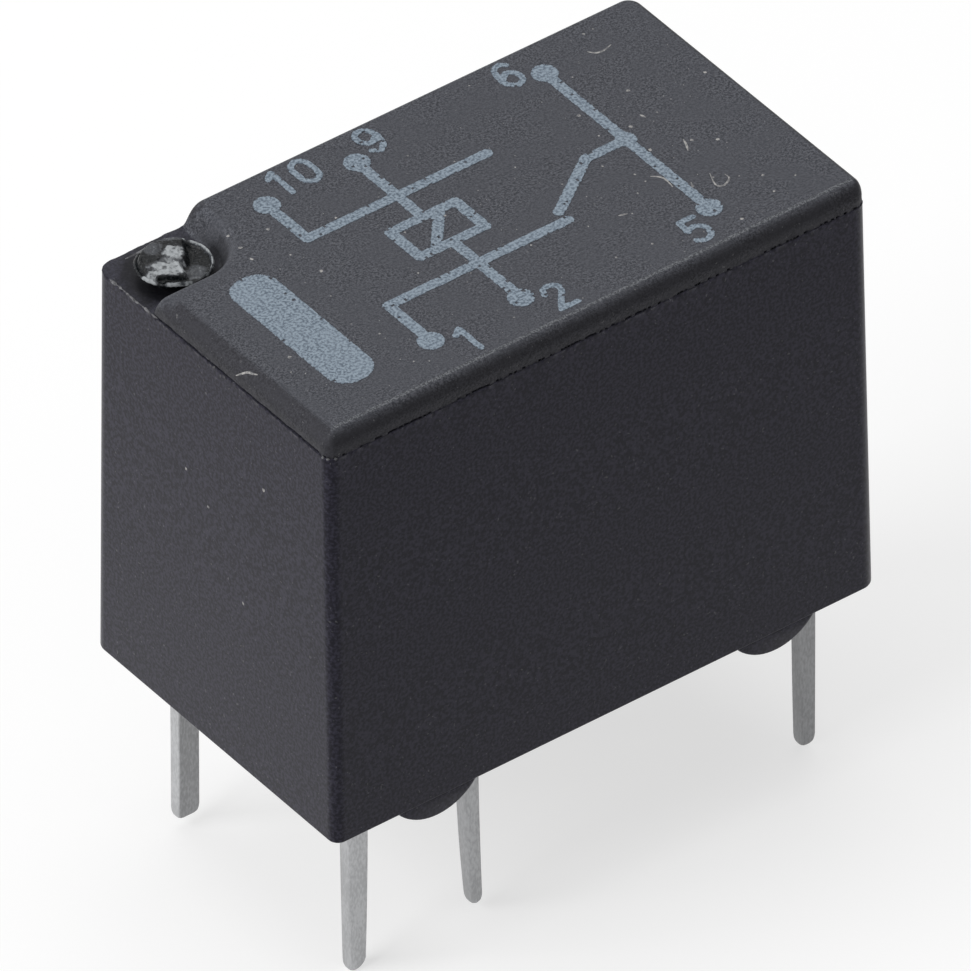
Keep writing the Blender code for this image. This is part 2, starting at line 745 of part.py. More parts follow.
def build_armature(look, pivot):
    """Flat hinged plate; its shape is drawn in the pulled-in position."""
    heel = ARMATURE_HEEL_WIDTH / 2
    front = ARMATURE_FRONT_WIDTH / 2
    x0 = -ARMATURE_LENGTH
    c = ARMATURE_CORNER
    neck = x0 + ARMATURE_LENGTH * 0.38
    half_outline = [
        (0.0, heel - c), (-c, heel), (neck + 0.5, heel), (neck, front),
    ]
    half_outline += arc((x0 + c, front - c), c, pi / 2, pi, 3)
    outline = half_outline + [(x, -y) for x, y in reversed(half_outline)]
    made = add_object("armature", prism(outline, 0.0, ARMATURE_THICKNESS), look, parent=pivot)
    for number, (x, y) in enumerate(boss_places()):
        boss_top = leaf_mid + LEAF_THICKNESS / 2 + BOSS_HEIGHT
        boss = rod(BOSS_RADIUS, ARMATURE_THICKNESS * 0.75, boss_top, (x, y), 14)
        combine(made, "armature_boss_%d" % number, boss, "UNION", parent=pivot)
    return made


def boss_places():
    """Two bosses near the heel and one near the front."""
    return [
        (-BOSS_FROM_HEEL, LEAF_WINDOW_WIDTH / 2 + BOSS_TO_WINDOW),
        (-BOSS_FROM_HEEL, -LEAF_WINDOW_WIDTH / 2 - BOSS_TO_WINDOW),
        (-ARMATURE_LENGTH + BOSS_FROM_FRONT, 0.0),
    ]


def leaf_path():
    """Path of the leaf at rest, from the moving contact's end to the yoke's back."""
    tip = (-reach - LEAF_CONTACT_WIDTH / 2, leaf_contact_mid)
    bend = LEAF_JOGGLE_ANGLE
    radius = LEAF_JOGGLE_RADIUS
    rise = LEAF_JOGGLE - 2 * radius * (1 - cos(bend))
    slope = rise / sin(bend)
    flat = LEAF_CONTACT_WIDTH + LEAF_JOGGLE_START
    ramp = 2 * radius * sin(bend) + slope * cos(bend)
    over = -tip[0] - flat - ramp + LEAF_BEND_START
    down = -pi / 2 - LEAF_LEAN
    turn = down + REST_ANGLE
    moves = [(flat, None), (radius, bend), (slope, None), (radius, -bend), (over, None),
             (LEAF_BEND_RADIUS, turn)]
    u = yoke_back_x + tip[0] * cos(REST_ANGLE) + tip[1] * sin(REST_ANGLE)
    v = pivot_z - tip[0] * sin(REST_ANGLE) + tip[1] * cos(REST_ANGLE)
    (x, z), heading = walk((u, v), -REST_ANGLE, moves, 1e3)
    seat = yoke_back_x + TIGHT + LEAF_THICKNESS / 2
    inward = x - seat - LEAF_LEAN_RADIUS * (1 - cos(LEAF_LEAN))
    moves += [(inward / sin(LEAF_LEAN), None), (LEAF_LEAN_RADIUS, LEAF_LEAN),
              (LEAF_FOOT, None)]
    return (u, v), moves


leaf_start, leaf_moves = leaf_path()
leaf_end, leaf_heading = walk(leaf_start, -REST_ANGLE, leaf_moves, 1e3)
stud_z = leaf_end[1] + LEAF_FOOT * 0.5


def path_length(moves):
    """Length of a path of lines and arcs."""
    return sum(size if turn is None else size * abs(turn) for size, turn in moves)


def build_leaf(look, pivot):
    """Folded leaf: contact end, neck, body on the armature, hinge bend and foot."""
    total = path_length(leaf_moves)
    contact_end = path_length(leaf_moves[:1])
    ramp_end = path_length(leaf_moves[:4])
    over_end = path_length(leaf_moves[:5])
    rows = [
        (0.0, 0.0, LEAF_CONTACT_WIDTH * 0.28),
        (0.10, 0.0, LEAF_CONTACT_WIDTH * 0.42),
        (0.28, 0.0, LEAF_CONTACT_WIDTH / 2),
        (contact_end - 0.3, 0.0, LEAF_CONTACT_WIDTH / 2),
        (contact_end, 0.0, LEAF_NECK_WIDTH / 2),
        (ramp_end + 0.1, 0.0, LEAF_NECK_WIDTH / 2),
        (ramp_end + 0.9, 0.0, LEAF_WIDTH / 2),
        (over_end, 0.0, LEAF_WIDTH / 2),
        (total - LEAF_FOOT, 0.0, LEAF_BACK_WIDTH / 2),
        (total - 0.12, 0.0, LEAF_BACK_WIDTH / 2),
        (total, 0.0, LEAF_BACK_WIDTH / 2 - 0.12),
    ]
    blank = folded_strip(leaf_start, -REST_ANGLE, leaf_moves, rows, LEAF_THICKNESS, 0.0,
                         across_y, radians(18))
    made = add_object("contact_spring", blank, look)
    hole = rod(CONTACT_SHANK + TIGHT, leaf_contact_mid - CUT_PAST, leaf_contact_mid + CUT_PAST,
               (-reach, 0.0), 14)
    combine(made, "leaf_contact_hole", hole, "DIFFERENCE", parent=pivot)
    for number, place in enumerate(boss_places()):
        hole = rod(BOSS_RADIUS + TIGHT, leaf_mid - CUT_PAST, leaf_mid + CUT_PAST, place, 14)
        combine(made, "leaf_boss_hole_%d" % number, hole, "DIFFERENCE", parent=pivot)
    for side in (-1, 1):
        hole = lying_rod(STUD_RADIUS + TIGHT, yoke_back_x - CUT_PAST,
                         yoke_back_x + CUT_PAST, side * STUD_SPREAD, stud_z)
        combine(made, "leaf_stud_hole_%d" % (side + 1), hole, "DIFFERENCE")
    window = LEAF_WINDOW_WIDTH / 2
    opening = box(yoke_back_x - LEAF_WINDOW_REACH, cover_x1, -window, window,
                  leaf_end[1] + LEAF_FOOT + LEAF_LEAN_RADIUS / 4, cover_top)
    combine(made, "leaf_window", opening, "DIFFERENCE")
    return made


def build_moving_contact(look, pivot):
    """Two-faced rivet in the leaf, with domed faces."""
    grip = LEAF_THICKNESS / 2 + TIGHT
    face = moving_face
    radius = MOVING_RADIUS
    half = [(0.0, face), (radius * 0.55, face - MOVING_DOME * 0.3),
            (radius * 0.92, face - MOVING_DOME), (radius, face - MOVING_DOME - 0.06),
            (radius, grip), (CONTACT_SHANK, grip)]
    profile = [(r, leaf_contact_mid - z) for r, z in half]
    profile += [(r, leaf_contact_mid + z) for r, z in reversed(half)]
    return add_object("moving_contact", turned(profile, 18, (-reach, 0.0)), look,
                      radians(35), parent=pivot)


def build_fixed_contact(name, arm_mid, facing, look):
    """Rivet in a terminal's arm: facing is +1 for a face on top, -1 for one below."""
    grip = STRIP / 2 + TIGHT
    radius = CONTACT_RADIUS
    profile = [
        (0.0, grip + CONTACT_HEIGHT), (radius - 0.08, grip + CONTACT_HEIGHT),
        (radius, grip + CONTACT_HEIGHT - 0.08), (radius, grip), (CONTACT_SHANK, grip),
        (CONTACT_SHANK, -grip), (radius * 0.8, -grip),
        (radius * 0.7, -grip - CONTACT_TAIL), (0.0, -grip - CONTACT_TAIL),
    ]
    turned_profile = [(r, arm_mid + facing * z) for r, z in profile]
    return add_object(name, turned(turned_profile, 18, (contact_x, 0.0)), look, radians(35))


def lead_route(side):
    """Wire route: along the winding, across to the post and round it in close turns."""
    centre = Vector((coil_x, 0.0))
    post = Vector((coil_pin_x, side * row_y))
    wrap = hypot(POST_WIDTH / 2, STRIP / 2) + LEAD_RADIUS + SLIP
    orbit = winding_radius + LEAD_RADIUS + SLIP
    gap = post - centre
    bearing = atan2(gap.y, gap.x)
    swing = pi / 2 - atan2(orbit - wrap, sqrt(gap.length_squared - (orbit - wrap) ** 2))
    leave = bearing - side * swing
    z = flange_top + LEAD_RADIUS + 0.25
    points = []
    for i in range(6):
        angle = leave - side * radians(20) * (5 - i) / 5
        points.append((centre.x + orbit * cos(angle), centre.y + orbit * sin(angle), z))
    steps = 10
    for i in range(LEAD_TURNS * steps + 1):
        angle = leave + side * 2 * pi * i / steps
        points.append((post.x + wrap * cos(angle), post.y + wrap * sin(angle),
                       z + LEAD_PITCH * i / steps))
    return points


def build_lead(name, side, look):
    """Fine wire from the winding to a coil terminal."""
    curve = bpy.data.curves.new(name, "CURVE")
    curve.dimensions = "3D"
    curve.bevel_depth = LEAD_RADIUS * MM
    curve.bevel_resolution = 1
    curve.use_fill_caps = True
    points = lead_route(side)
    spline = curve.splines.new("POLY")
    spline.points.add(len(points) - 1)
    for target, point in zip(spline.points, points):
        target.co = (point[0] * MM, point[1] * MM, point[2] * MM, 1.0)
    curve.materials.append(look)
    made = bpy.data.objects.new(name, curve)
    bpy.context.scene.collection.objects.link(made)
    return made


def build_relay():
    """Make every piece of the relay."""
    moulding = material("cover_moulding", (0.020, 0.021, 0.024), 0.42)
    resin = material("seal_resin", (0.045, 0.040, 0.036), 0.25)
    base_plastic = material("base_moulding", (0.030, 0.030, 0.032), 0.5)
    nylon = material("bobbin_nylon", (0.72, 0.70, 0.62), 0.5)
    tin = material("tinned_strip", (0.62, 0.62, 0.61), 0.38, 1.0)
    copper = material("enamelled_copper", (0.56, 0.22, 0.10), 0.3, 1.0)
    iron = material("plated_iron", (0.55, 0.54, 0.52), 0.32, 1.0)
    bronze = material("leaf_bronze", (0.72, 0.47, 0.26), 0.3, 1.0)
    silver = material("contact_silver", (0.86, 0.85, 0.83), 0.2, 1.0)

    pivot = bpy.data.objects.new("armature_pivot", None)
    pivot.location = (yoke_back_x * MM, 0.0, pivot_z * MM)
    pivot.rotation_euler = (0.0, REST_ANGLE, 0.0)
    bpy.context.scene.collection.objects.link(pivot)

    build_cover(moulding)
    build_base(base_plastic)
    build_seal(resin)
    build_bobbin(nylon)
    build_winding(copper)
    build_core(iron)
    build_yoke(iron)
    build_armature(iron, pivot)
    build_leaf(bronze, pivot)
    build_moving_contact(silver, pivot)
    contact_terminal("pin_1_terminal", -1, PIN_1_BELOW, upper_arm_mid, tin)
    contact_terminal("pin_10_terminal", 1, PIN_10_BELOW, lower_arm_mid, tin)
    coil_terminal("pin_2_terminal", -1, PIN_2_BELOW, PIN_2_BEND, tin)
    coil_terminal("pin_9_terminal", 1, PIN_9_BELOW, 0.0, tin)
    common_terminal("pin_5_terminal", -1, PIN_5_BELOW, tin)
    common_terminal("pin_6_terminal", 1, PIN_6_BELOW, tin)
    build_fixed_contact("nc_contact", upper_arm_mid, -1, silver)
    build_fixed_contact("no_contact", lower_arm_mid, 1, silver)
    build_lead("coil_lead_start", -1, copper)
    build_lead("coil_lead_end", 1, copper)


for old in list(bpy.data.objects):
    bpy.data.objects.remove(old, do_unlink=True)
build_relay()
bpy.context.view_layer.update()
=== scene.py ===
"""Sealed circuit-board relay: fine cover, print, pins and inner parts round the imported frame.

Sizes are named in millimetres, because the relay is 12 mm long; meshes are made in metres.
"""

import json
import random
from math import atan2, cos, exp, hypot, pi, radians, sin, sqrt

import bmesh
import bpy
import numpy as np
from mathutils import Matrix, Vector
from mathutils.noise import noise


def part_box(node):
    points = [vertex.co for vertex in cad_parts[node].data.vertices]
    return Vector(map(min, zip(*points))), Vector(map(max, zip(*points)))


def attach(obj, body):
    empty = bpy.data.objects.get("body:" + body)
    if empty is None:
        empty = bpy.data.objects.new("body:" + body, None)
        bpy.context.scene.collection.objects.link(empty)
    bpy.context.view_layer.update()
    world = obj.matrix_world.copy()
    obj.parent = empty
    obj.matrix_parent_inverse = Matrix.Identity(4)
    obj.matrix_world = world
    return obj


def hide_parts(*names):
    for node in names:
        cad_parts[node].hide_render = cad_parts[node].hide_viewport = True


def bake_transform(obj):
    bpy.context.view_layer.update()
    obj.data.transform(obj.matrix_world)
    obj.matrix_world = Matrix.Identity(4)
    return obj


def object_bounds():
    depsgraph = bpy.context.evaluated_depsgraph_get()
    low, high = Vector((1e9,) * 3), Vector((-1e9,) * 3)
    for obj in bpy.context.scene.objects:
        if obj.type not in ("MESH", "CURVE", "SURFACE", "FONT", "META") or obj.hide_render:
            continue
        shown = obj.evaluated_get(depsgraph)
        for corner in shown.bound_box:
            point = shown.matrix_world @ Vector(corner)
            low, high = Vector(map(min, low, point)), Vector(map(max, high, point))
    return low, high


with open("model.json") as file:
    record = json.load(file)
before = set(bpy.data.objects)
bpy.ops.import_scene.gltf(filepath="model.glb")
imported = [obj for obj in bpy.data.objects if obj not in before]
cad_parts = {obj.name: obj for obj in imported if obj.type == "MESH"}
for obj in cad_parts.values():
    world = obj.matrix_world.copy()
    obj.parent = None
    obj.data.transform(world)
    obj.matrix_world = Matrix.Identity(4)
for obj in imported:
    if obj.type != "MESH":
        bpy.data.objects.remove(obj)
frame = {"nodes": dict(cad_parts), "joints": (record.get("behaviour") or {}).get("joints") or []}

MM = 0.001
SMOOTH_ANGLE = radians(35)
X_AXIS, Y_AXIS, Z_AXIS = Vector((1, 0, 0)), Vector((0, 1, 0)), Vector((0, 0, 1))
HOUSING = "housing"
scene = bpy.context.scene
frame_low, frame_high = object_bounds()

# Camera: fitted to the case's edges and pin tips
AZIMUTH = radians(-36.69)
ELEVATION = radians(39.138)
ROLL = radians(0.545)
DISTANCE = 555.56
FOCAL_LENGTH = 1146.0
SENSOR = 36.0
AIM_SIDE = 0.1492
AIM_UP = 2.2157

# Cover
LEDGE_HEIGHT = 8.685
WALL_END = 0.4
WALL_SIDE = 0.35
ROOF = 0.55
DRAFT_END = 0.085
DRAFT_SIDE = 0.155
CORNER_RADIUS = 0.32
NEAR_CORNER_RADIUS = 0.22
CORNER_STEPS = 10
CAVITY_RADIUS = 0.145
OUTER_CORNERS = (CORNER_RADIUS, CORNER_RADIUS, NEAR_CORNER_RADIUS, CORNER_RADIUS)
CAVITY_CORNERS = (CAVITY_RADIUS,) * 4
CAVITY_ROOF_ROUND = ((0.0, 0.15), (0.05, 0.05), (0.15, 0.0))
LEAST_RADIUS = 0.02
RIM_ROUND = 0.05
PARTING_ROUND = 0.016
GROOVE_DEPTH = 0.085
GROOVE_HEIGHT = 0.042
GROOVE_LEVELS = ((0.0, 1.0, 1.0), (0.6, 0.3, 1.0), (0.95, 0.1, 0.6), (1.1, 0.0, 0.0))
SUPPORT = 0.09
LONG_STEPS = 320
SHORT_STEPS = 180
BLOCK_INSET = 0.012
BLOCK_LEAST_RADIUS = 0.05
BLOCK_ROUND = 0.32
BLOCK_ROUND_NEAR = 0.3
BLOCK_ROUND_FAR = 0.11
BLOCK_ROUND_END = 0.17
BLOCK_ROUND_STEPS = 14
INK_THICKNESS = 0.008
GROOVE_SEARCH = 0.12
EDGE_RAGGED = 0.014
NOTCH_LENGTH = 1.9
NOTCH_WIDTH = 1.86
NOTCH_CORNER_RADIUS = 0.75
NOTCH_RUN = 0.28
NOTCH_LEAN = 0.18
NOTCH_FOOT = 0.05
NOTCH_STEPS = 6
NOTCH_LIP_RADIUS = 0.1
NOTCH_ROUND = 0.16
NOTCH_ROUND_REACH = 0.096
PAD_THICKNESS = 0.44
STANDOFF_CHORD = 1.744
STANDOFF_DEPTH = 0.44
STANDOFF_SPACING = 7.6
STANDOFF_SETBACK = 0.02
STANDOFF_ROOT = 0.15
STANDOFF_ROUND = 0.05
STANDOFF_STEPS = 24

# Vent nub, melted shut
NUB_RADIUS = 0.72
NUB_STEM = 0.5
NUB_TO_END = 0.995
NUB_TO_SIDE = 1.0
NUB_FLOOR = 0.18
NUB_STEM_LEVELS = ((NUB_STEM / NUB_RADIUS, -0.05), (NUB_STEM / NUB_RADIUS, 0.09),
                   (1.08 * NUB_STEM / NUB_RADIUS, 0.14), (0.9, 0.165), (0.985, 0.185), (1.0, 0.21))
NUB_RIM_RIDGE = 0.075
NUB_SEGMENTS = 192
NUB_ROUNDS = 50
# Reach of the painted shadow round the nub, in millimetres from its axis
NUB_SHADOW_START = 0.74
NUB_SHADOW_END = 1.16
# Point attribute with the nub's painted light: painted highlights and reflections where it is high,
# painted shade where it is low
PAINTED_LIGHT_ATTRIBUTE = "nub_painted_light"
# Painted highlights on the nub: side, depth, half size along each, strength
NUB_HIGHLIGHT_PATCHES = (
    (0.01, 0.21, 0.22, 0.19, 0.9),
    (0.03, -0.01, 0.24, 0.12, 0.66),
    (-0.09, -0.23, 0.39, 0.22, 1.0),
    (-0.37, -0.42, 0.12, 0.15, 0.9),
    (0.39, -0.18, 0.2, 0.26, 0.42),
    (-0.38, 0.3, 0.2, 0.2, 0.38),
    (-0.14, 0.6, 0.34, 0.09, 0.46),
)
# Rim arcs: middle angle and half width in degrees, strength; they raise the rim and brighten it with
# a painted highlight
NUB_RIM_ARCS = ((27, 41, 1.0), (77, 8, 0.9), (104, 20, 0.5), (-29, 9, 0.85), (-79, 24, 0.95),
                (-129, 17, 0.9))

cover_low, cover_high = (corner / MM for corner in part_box("cover"))
cover_x0, cover_x1 = cover_low.x, cover_high.x
cover_half_y, cover_top = cover_high.y, cover_high.z
cover_centre_x = (cover_x0 + cover_x1) / 2
top_z = cover_top - INK_THICKNESS
block_height = top_z - LEDGE_HEIGHT
block_x0 = cover_x0 + DRAFT_END
block_x1 = cover_x1 - DRAFT_END
block_half_y = cover_half_y - DRAFT_SIDE
notch_x1 = block_x0 + NOTCH_LENGTH
notch_y0 = block_half_y - NOTCH_WIDTH
nub_x = block_x0 + NUB_TO_END
nub_y = block_half_y - NUB_TO_SIDE


class Nodes:
    """Node tree that grows by calls; each gives back an output socket."""

    def __init__(self, tree):
        self.tree = tree

    def fill(self, node, inputs):
        """Set a node's sockets to numbers, vectors, colours or other sockets."""
        for name, value in inputs.items():
            socket = node.inputs[name]
            if isinstance(value, bpy.types.NodeSocket):
                self.tree.links.new(value, socket)
            elif isinstance(value, tuple) and len(socket.default_value) == 4:
                socket.default_value = (*value, 1.0)
            else:
                socket.default_value = value

    def node(self, kind, inputs=None, output=0, **settings):
        made = self.tree.nodes.new("ShaderNode" + kind)
        for name, value in settings.items():
            setattr(made, name, value)
        self.fill(made, inputs or {})
        return made.outputs[output]

    def math(self, operation, first, second=0.0):
        return self.node("Math", {0: first, 1: second}, operation=operation)

    def plus(self, total, *others):
        for value in others:
            total = self.math("ADD", total, value)
        return total

    def times(self, product, *others):
        for value in others:
            product = self.math("MULTIPLY", product, value)
        return product


class Look(Nodes):
    """A material: textures measured in millimetres feed a Principled shader."""

    def __init__(self, name, colour, roughness, metallic=0.0, specular=0.5):
        self.material = bpy.data.materials.new(name)
        self.material.use_nodes = True
        super().__init__(self.material.node_tree)
        self.shader = self.tree.nodes["Principled BSDF"]
        self.fill(self.shader, {"Base Color": colour, "Roughness": roughness,
                                "Metallic": metallic, "Specular IOR Level": specular})
        where = self.node("TexCoord", output="Object")
        self.place = self.node("VectorMath", {0: where, "Scale": 1 / MM}, operation="SCALE")

    def noise(self, scale, detail=2.0, stretch=(1.0, 1.0, 1.0), shift=0.0):
        """Cloudy pattern; scale counts features to the millimetre."""
        place = self.node("Mapping", {"Vector": self.place, "Scale": stretch,
                                      "Location": (shift, shift, shift)})
        return self.node("TexNoise", {"Vector": place, "Scale": scale, "Detail": detail}, "Fac")

    def range(self, value, low, high, bottom=0.0, top=1.0):
        """Stretch a value between two limits to the range wanted."""
        return self.node("MapRange", {"Value": value, "From Min": low, "From Max": high,
                                      "To Min": bottom, "To Max": top},
                         "Result", interpolation_type="SMOOTHSTEP")

    def mix(self, factor, first, second, kind="RGBA"):
        """Mix two colours."""
        return self.node("Mix", {"Factor": factor, "A": first, "B": second}, "Result", data_type=kind)

    def blend(self, factor, first, second):
        """Mix two numbers."""
        return self.mix(factor, first, second, "FLOAT")

    def slope(self, axis):
        """Share of the surface's direction along an axis, without its sign for X and Y."""
        normal = self.node("NewGeometry", output="True Normal")
        share = self.node("SeparateXYZ", {0: normal}, axis)
        return self.math("ABSOLUTE", share) if axis < 2 else share

    def facing(self, axis, low, high):
        """1 where the surface faces along an axis: up for Z, either way for the others."""
        return self.range(self.slope(axis), low, high)

    def above(self, low, high):
        """0 below one height, 1 above the other."""
        return self.range(self.node("SeparateXYZ", {0: self.place}, "Z"), low, high)

    def near(self, x, y, low, high):
        """1 round an upright axis, 0 past the outer limit, with a cloudy edge."""
        away = self.node("VectorMath", {0: self.place, 1: (x, y, 0.0)}, operation="SUBTRACT")
        away = self.node("VectorMath", {0: away, 1: (1.0, 1.0, 0.0)}, operation="MULTIPLY")
        away = self.node("VectorMath", {0: away}, "Value", operation="LENGTH")
        cloud = self.times(self.plus(self.noise(3.0, 3.0), -0.5), 0.6)
        return self.range(self.plus(away, cloud), low, high, 1.0, 0.0)

    def bump(self, height, distance, strength=1.0):
        """Relief of a height given in millimetres."""
        return self.node("Bump", {"Distance": distance * MM, "Strength": strength, "Height": height})

    def finish(self, colour=None, roughness=None, normal=None):
        """Feed the shader and give the material back."""
        fed = {"Base Color": colour, "Roughness": roughness, "Normal": normal}
        self.fill(self.shader, {name: value for name, value in fed.items() if value is not None})
        return self.material


def cover_look():
    """Black eroded moulding: smooth drawn walls, a coarser grain with dust on the raised block, and
    painted light and shade on the block and round the nub.
    """
    look = Look("cover_moulding", (0.02, 0.02, 0.024), 0.5, specular=0.14)
    look.fill(look.shader, {"Specular Tint": (0.87, 0.87, 1.0)})
    block = look.above(LEDGE_HEIGHT - 0.01, LEDGE_HEIGHT + 0.02)
    tilt = look.math("ARCSINE", look.slope(2))
    end = look.math("DIVIDE", look.slope(0), look.plus(look.slope(0), look.slope(1), 0.0001))
    # Painted light: on the lit end the paler top colour reaches further down the rounding than on the
    # long sides
    up = look.blend(end, look.range(tilt, 0.6, 1.54), look.range(tilt, 1.2, 1.55))
    # Painted highlight: a paler band along the upper rounding of the long top edges
    edge_highlight_band = look.times(look.facing(1, 0.01, 0.05), look.facing(2, 0.95, 0.99),
                           look.math("SUBTRACT", 1.0, end))
    in_notch = look.near(nub_x, nub_y, 1.35, 1.45)
    grain = look.noise(20.0, 4.0)
    pits = look.noise(34.0, 2.0, shift=9.0)
    cluster = look.range(look.noise(1.3, 3.0, shift=14.0), 0.35, 0.62)
    wall_fleck = look.range(look.noise(16.0, 3.0, shift=6.0), 0.38, 0.66)
    wall = look.mix(wall_fleck, (0.0068, 0.0062, 0.011), (0.031, 0.0293, 0.0445))
    fleck = look.range(look.plus(grain, pits), 0.78, 1.22)
    calm = look.plus(look.times(look.plus(fleck, -0.5), 0.45), 0.5)
    fleck = look.blend(cluster, calm, fleck)
    shaded = look.mix(fleck, (0.018, 0.018, 0.02), (0.06, 0.061, 0.068))
    # Paler copy for faces that look up: partly dust, partly painted light; the walls take the darker
    # shaded copy
    dust_and_painted_light_tone = look.mix(fleck, (0.03, 0.032, 0.038), (0.112, 0.116, 0.132))
    # Colour of the painted highlight band along the long top edges
    wear_and_highlight = look.mix(look.range(fleck, 0.3, 0.8), (0.06, 0.063, 0.07), (0.17, 0.178, 0.19))
    # Painted shade on the rounding of the block's top edge: a dark copy on the long sides and a
    # lighter, lit copy on the end, taking over from the side walls' colour as the surface tilts up
    near_round_painted_shade = look.mix(fleck, (0.01, 0.01, 0.011), (0.027, 0.027, 0.031))
    end_round_painted_light = look.mix(fleck, (0.023, 0.023, 0.026), (0.048, 0.048, 0.055))
    low = look.mix(fleck, (0.015, 0.015, 0.017), (0.051, 0.051, 0.058))
    low = look.mix(look.range(tilt, 0.05, 0.5), low, look.mix(end, near_round_painted_shade, end_round_painted_light))
    outside = look.mix(edge_highlight_band, look.mix(up, low, dust_and_painted_light_tone), wear_and_highlight)
    # Painted light in the notch: faces that lean up take the paler copy, steeper ones the shaded copy
    hollow = look.mix(look.facing(2, 0.1, 0.75), shaded, dust_and_painted_light_tone)
    colour = look.mix(block, wall, look.mix(in_notch, outside, hollow))
    speck = look.range(look.noise(14.0, 2.0, shift=20.0), 0.69, 0.74)
    amount = look.plus(look.times(block, 0.1), 0.36)
    colour = look.mix(look.times(speck, amount), colour, (0.2, 0.2, 0.205))
    # Painted shadow: the notch floor and the foot of its walls, round and under the nub, are darkened
    # almost to black
    below = look.math("SUBTRACT", 1.0, look.above(top_z - 0.22, top_z - 0.03))
    on_ledge = look.above(LEDGE_HEIGHT - 0.03, LEDGE_HEIGHT - 0.01)
    painted_nub_shadow = look.times(below, look.near(nub_x, nub_y, NUB_SHADOW_START, NUB_SHADOW_END), on_ledge, 0.88)
    colour = look.mix(painted_nub_shadow, colour, (0.0025, 0.0025, 0.003))
    rough = look.blend(block, 0.34, look.range(look.noise(6.0, 2.0, shift=2.0), 0.3, 0.7, 0.42, 0.54))
    strength = look.blend(block, 0.1, look.blend(cluster, 0.45, 1.0))
    return look.finish(colour, rough, look.bump(grain, 0.012, strength))


def nub_look():
    """The same plastic, melted and set again with a gloss; pale patches are painted highlights and
    reflections, the darkest parts painted shade.
    """
    look = Look("melted_moulding", (0.012, 0.013, 0.014), 0.2, specular=0.18)
    blotch = look.noise(9.0, 5.0)
    # Painted light worked out for each point when the nub is made
    pale = look.node("Attribute", output="Fac", attribute_name=PAINTED_LIGHT_ATTRIBUTE)
    rough = look.range(blotch, 0.35, 0.7, 0.14, 0.42)
    tone = look.times(pale, look.range(blotch, 0.3, 0.6, 0.45, 1.1))
    tone = look.plus(tone, look.range(look.noise(28.0, 2.0, shift=3.0), 0.5, 0.8, 0.0, 0.3))
    colour = look.mix(look.range(tone, 0.0, 0.38), (0.004, 0.005, 0.006), (0.062, 0.066, 0.074))
    colour = look.mix(look.range(tone, 0.38, 1.0), colour, (0.37, 0.39, 0.405))
    return look.finish(colour, rough, look.bump(blotch, 0.03, 0.8))


def ink_look():
    """Pale blue-grey pad print, thin over the grain, so it shows dark flecks."""
    look = Look("pad_print", (0.19, 0.24, 0.29), 0.6, specular=0.2)
    grain = look.noise(19.0, 3.0, shift=5.0)
    fleck = look.range(grain, 0.38, 0.6)
    wear = look.range(look.noise(1.6, 3.0, shift=8.0), 0.25, 0.75)
    wear_and_highlight = look.mix(wear, (0.105, 0.135, 0.172), (0.155, 0.192, 0.236))
    colour = look.mix(fleck, wear_and_highlight, (0.29, 0.35, 0.412))
    return look.finish(colour, None, look.bump(grain, 0.006, 0.6))


def dust_look(name, dark, pale):
    """Pale specks, fibres and flash, mottled."""
    look = Look(name, pale, 0.7, specular=0.2)
    return look.finish(look.mix(look.range(look.noise(14.0), 0.35, 0.65), dark, pale))


def resin_look():
    """Poured dark resin with a wavy gloss."""
    look = Look("sealing_resin", (0.03, 0.026, 0.023), 0.22, specular=0.5)
    colour = look.mix(look.noise(1.2, 3.0), (0.02, 0.018, 0.016), (0.05, 0.043, 0.036))
    rough = look.range(look.noise(4.0, 2.0), 0.3, 0.7, 0.16, 0.34)
    return look.finish(colour, rough, look.bump(look.noise(2.0, 3.0), 0.02, 0.6))


def moulding_look(name, dark, pale):
    """Plain inner moulding."""
    look = Look(name, pale, 0.5, specular=0.4)
    colour = look.mix(look.noise(1.5, 3.0), dark, pale)
    rough = look.range(look.noise(7.0, 2.0), 0.3, 0.7, 0.42, 0.58)
    return look.finish(colour, rough, look.bump(look.noise(14.0, 2.0), 0.006, 0.5))


def metal_look(name, dark, pale, rough_low, rough_high, relief, stretch=(1.0, 1.0, 1.0)):
    """Metal with a drawn grain that runs along the axis with the small stretch."""
    look = Look(name, pale, rough_low, metallic=1.0)
    streak = look.noise(9.0, 3.0, stretch)
    cloud = look.noise(2.2, 3.0, shift=6.0)
    tone = look.plus(look.times(streak, 0.5), look.times(cloud, 0.5))
    colour = look.mix(look.range(tone, 0.35, 0.65), dark, pale)
    rough = look.range(cloud, 0.3, 0.7, rough_low, rough_high)
    return look.finish(colour, rough, look.bump(streak, relief, 0.7))


def grey(value):
    """Slightly cool grey."""
    return (value * 0.99, value, value * 1.02)


def tin_look(name, wide, edge):
    """Dull dipped tin; the faces along X are lighter than the wide faces along Y, which is painted
    light from the lamp on the -X side.
    """
    look = Look(name, grey(wide), 0.42, metallic=1.0)
    grain = look.noise(22.0, 3.0, (1.0, 1.0, 0.4))
    cloud = look.noise(3.0, 3.0, (1.0, 1.0, 0.4), 6.0)
    fleck = look.range(look.plus(grain, look.times(cloud, 0.6)), 0.62, 0.98)
    flat = look.mix(fleck, grey(wide * 0.86), grey(wide * 1.12))
    cut = look.mix(fleck, grey(edge * 0.9), grey(edge * 1.08))
    # Painted light: the faces along X take the lighter copy
    colour = look.mix(look.facing(0, 0.55, 0.85), flat, cut)
    return look.finish(colour, look.range(cloud, 0.3, 0.7, 0.36, 0.5), look.bump(grain, 0.006, 0.6))


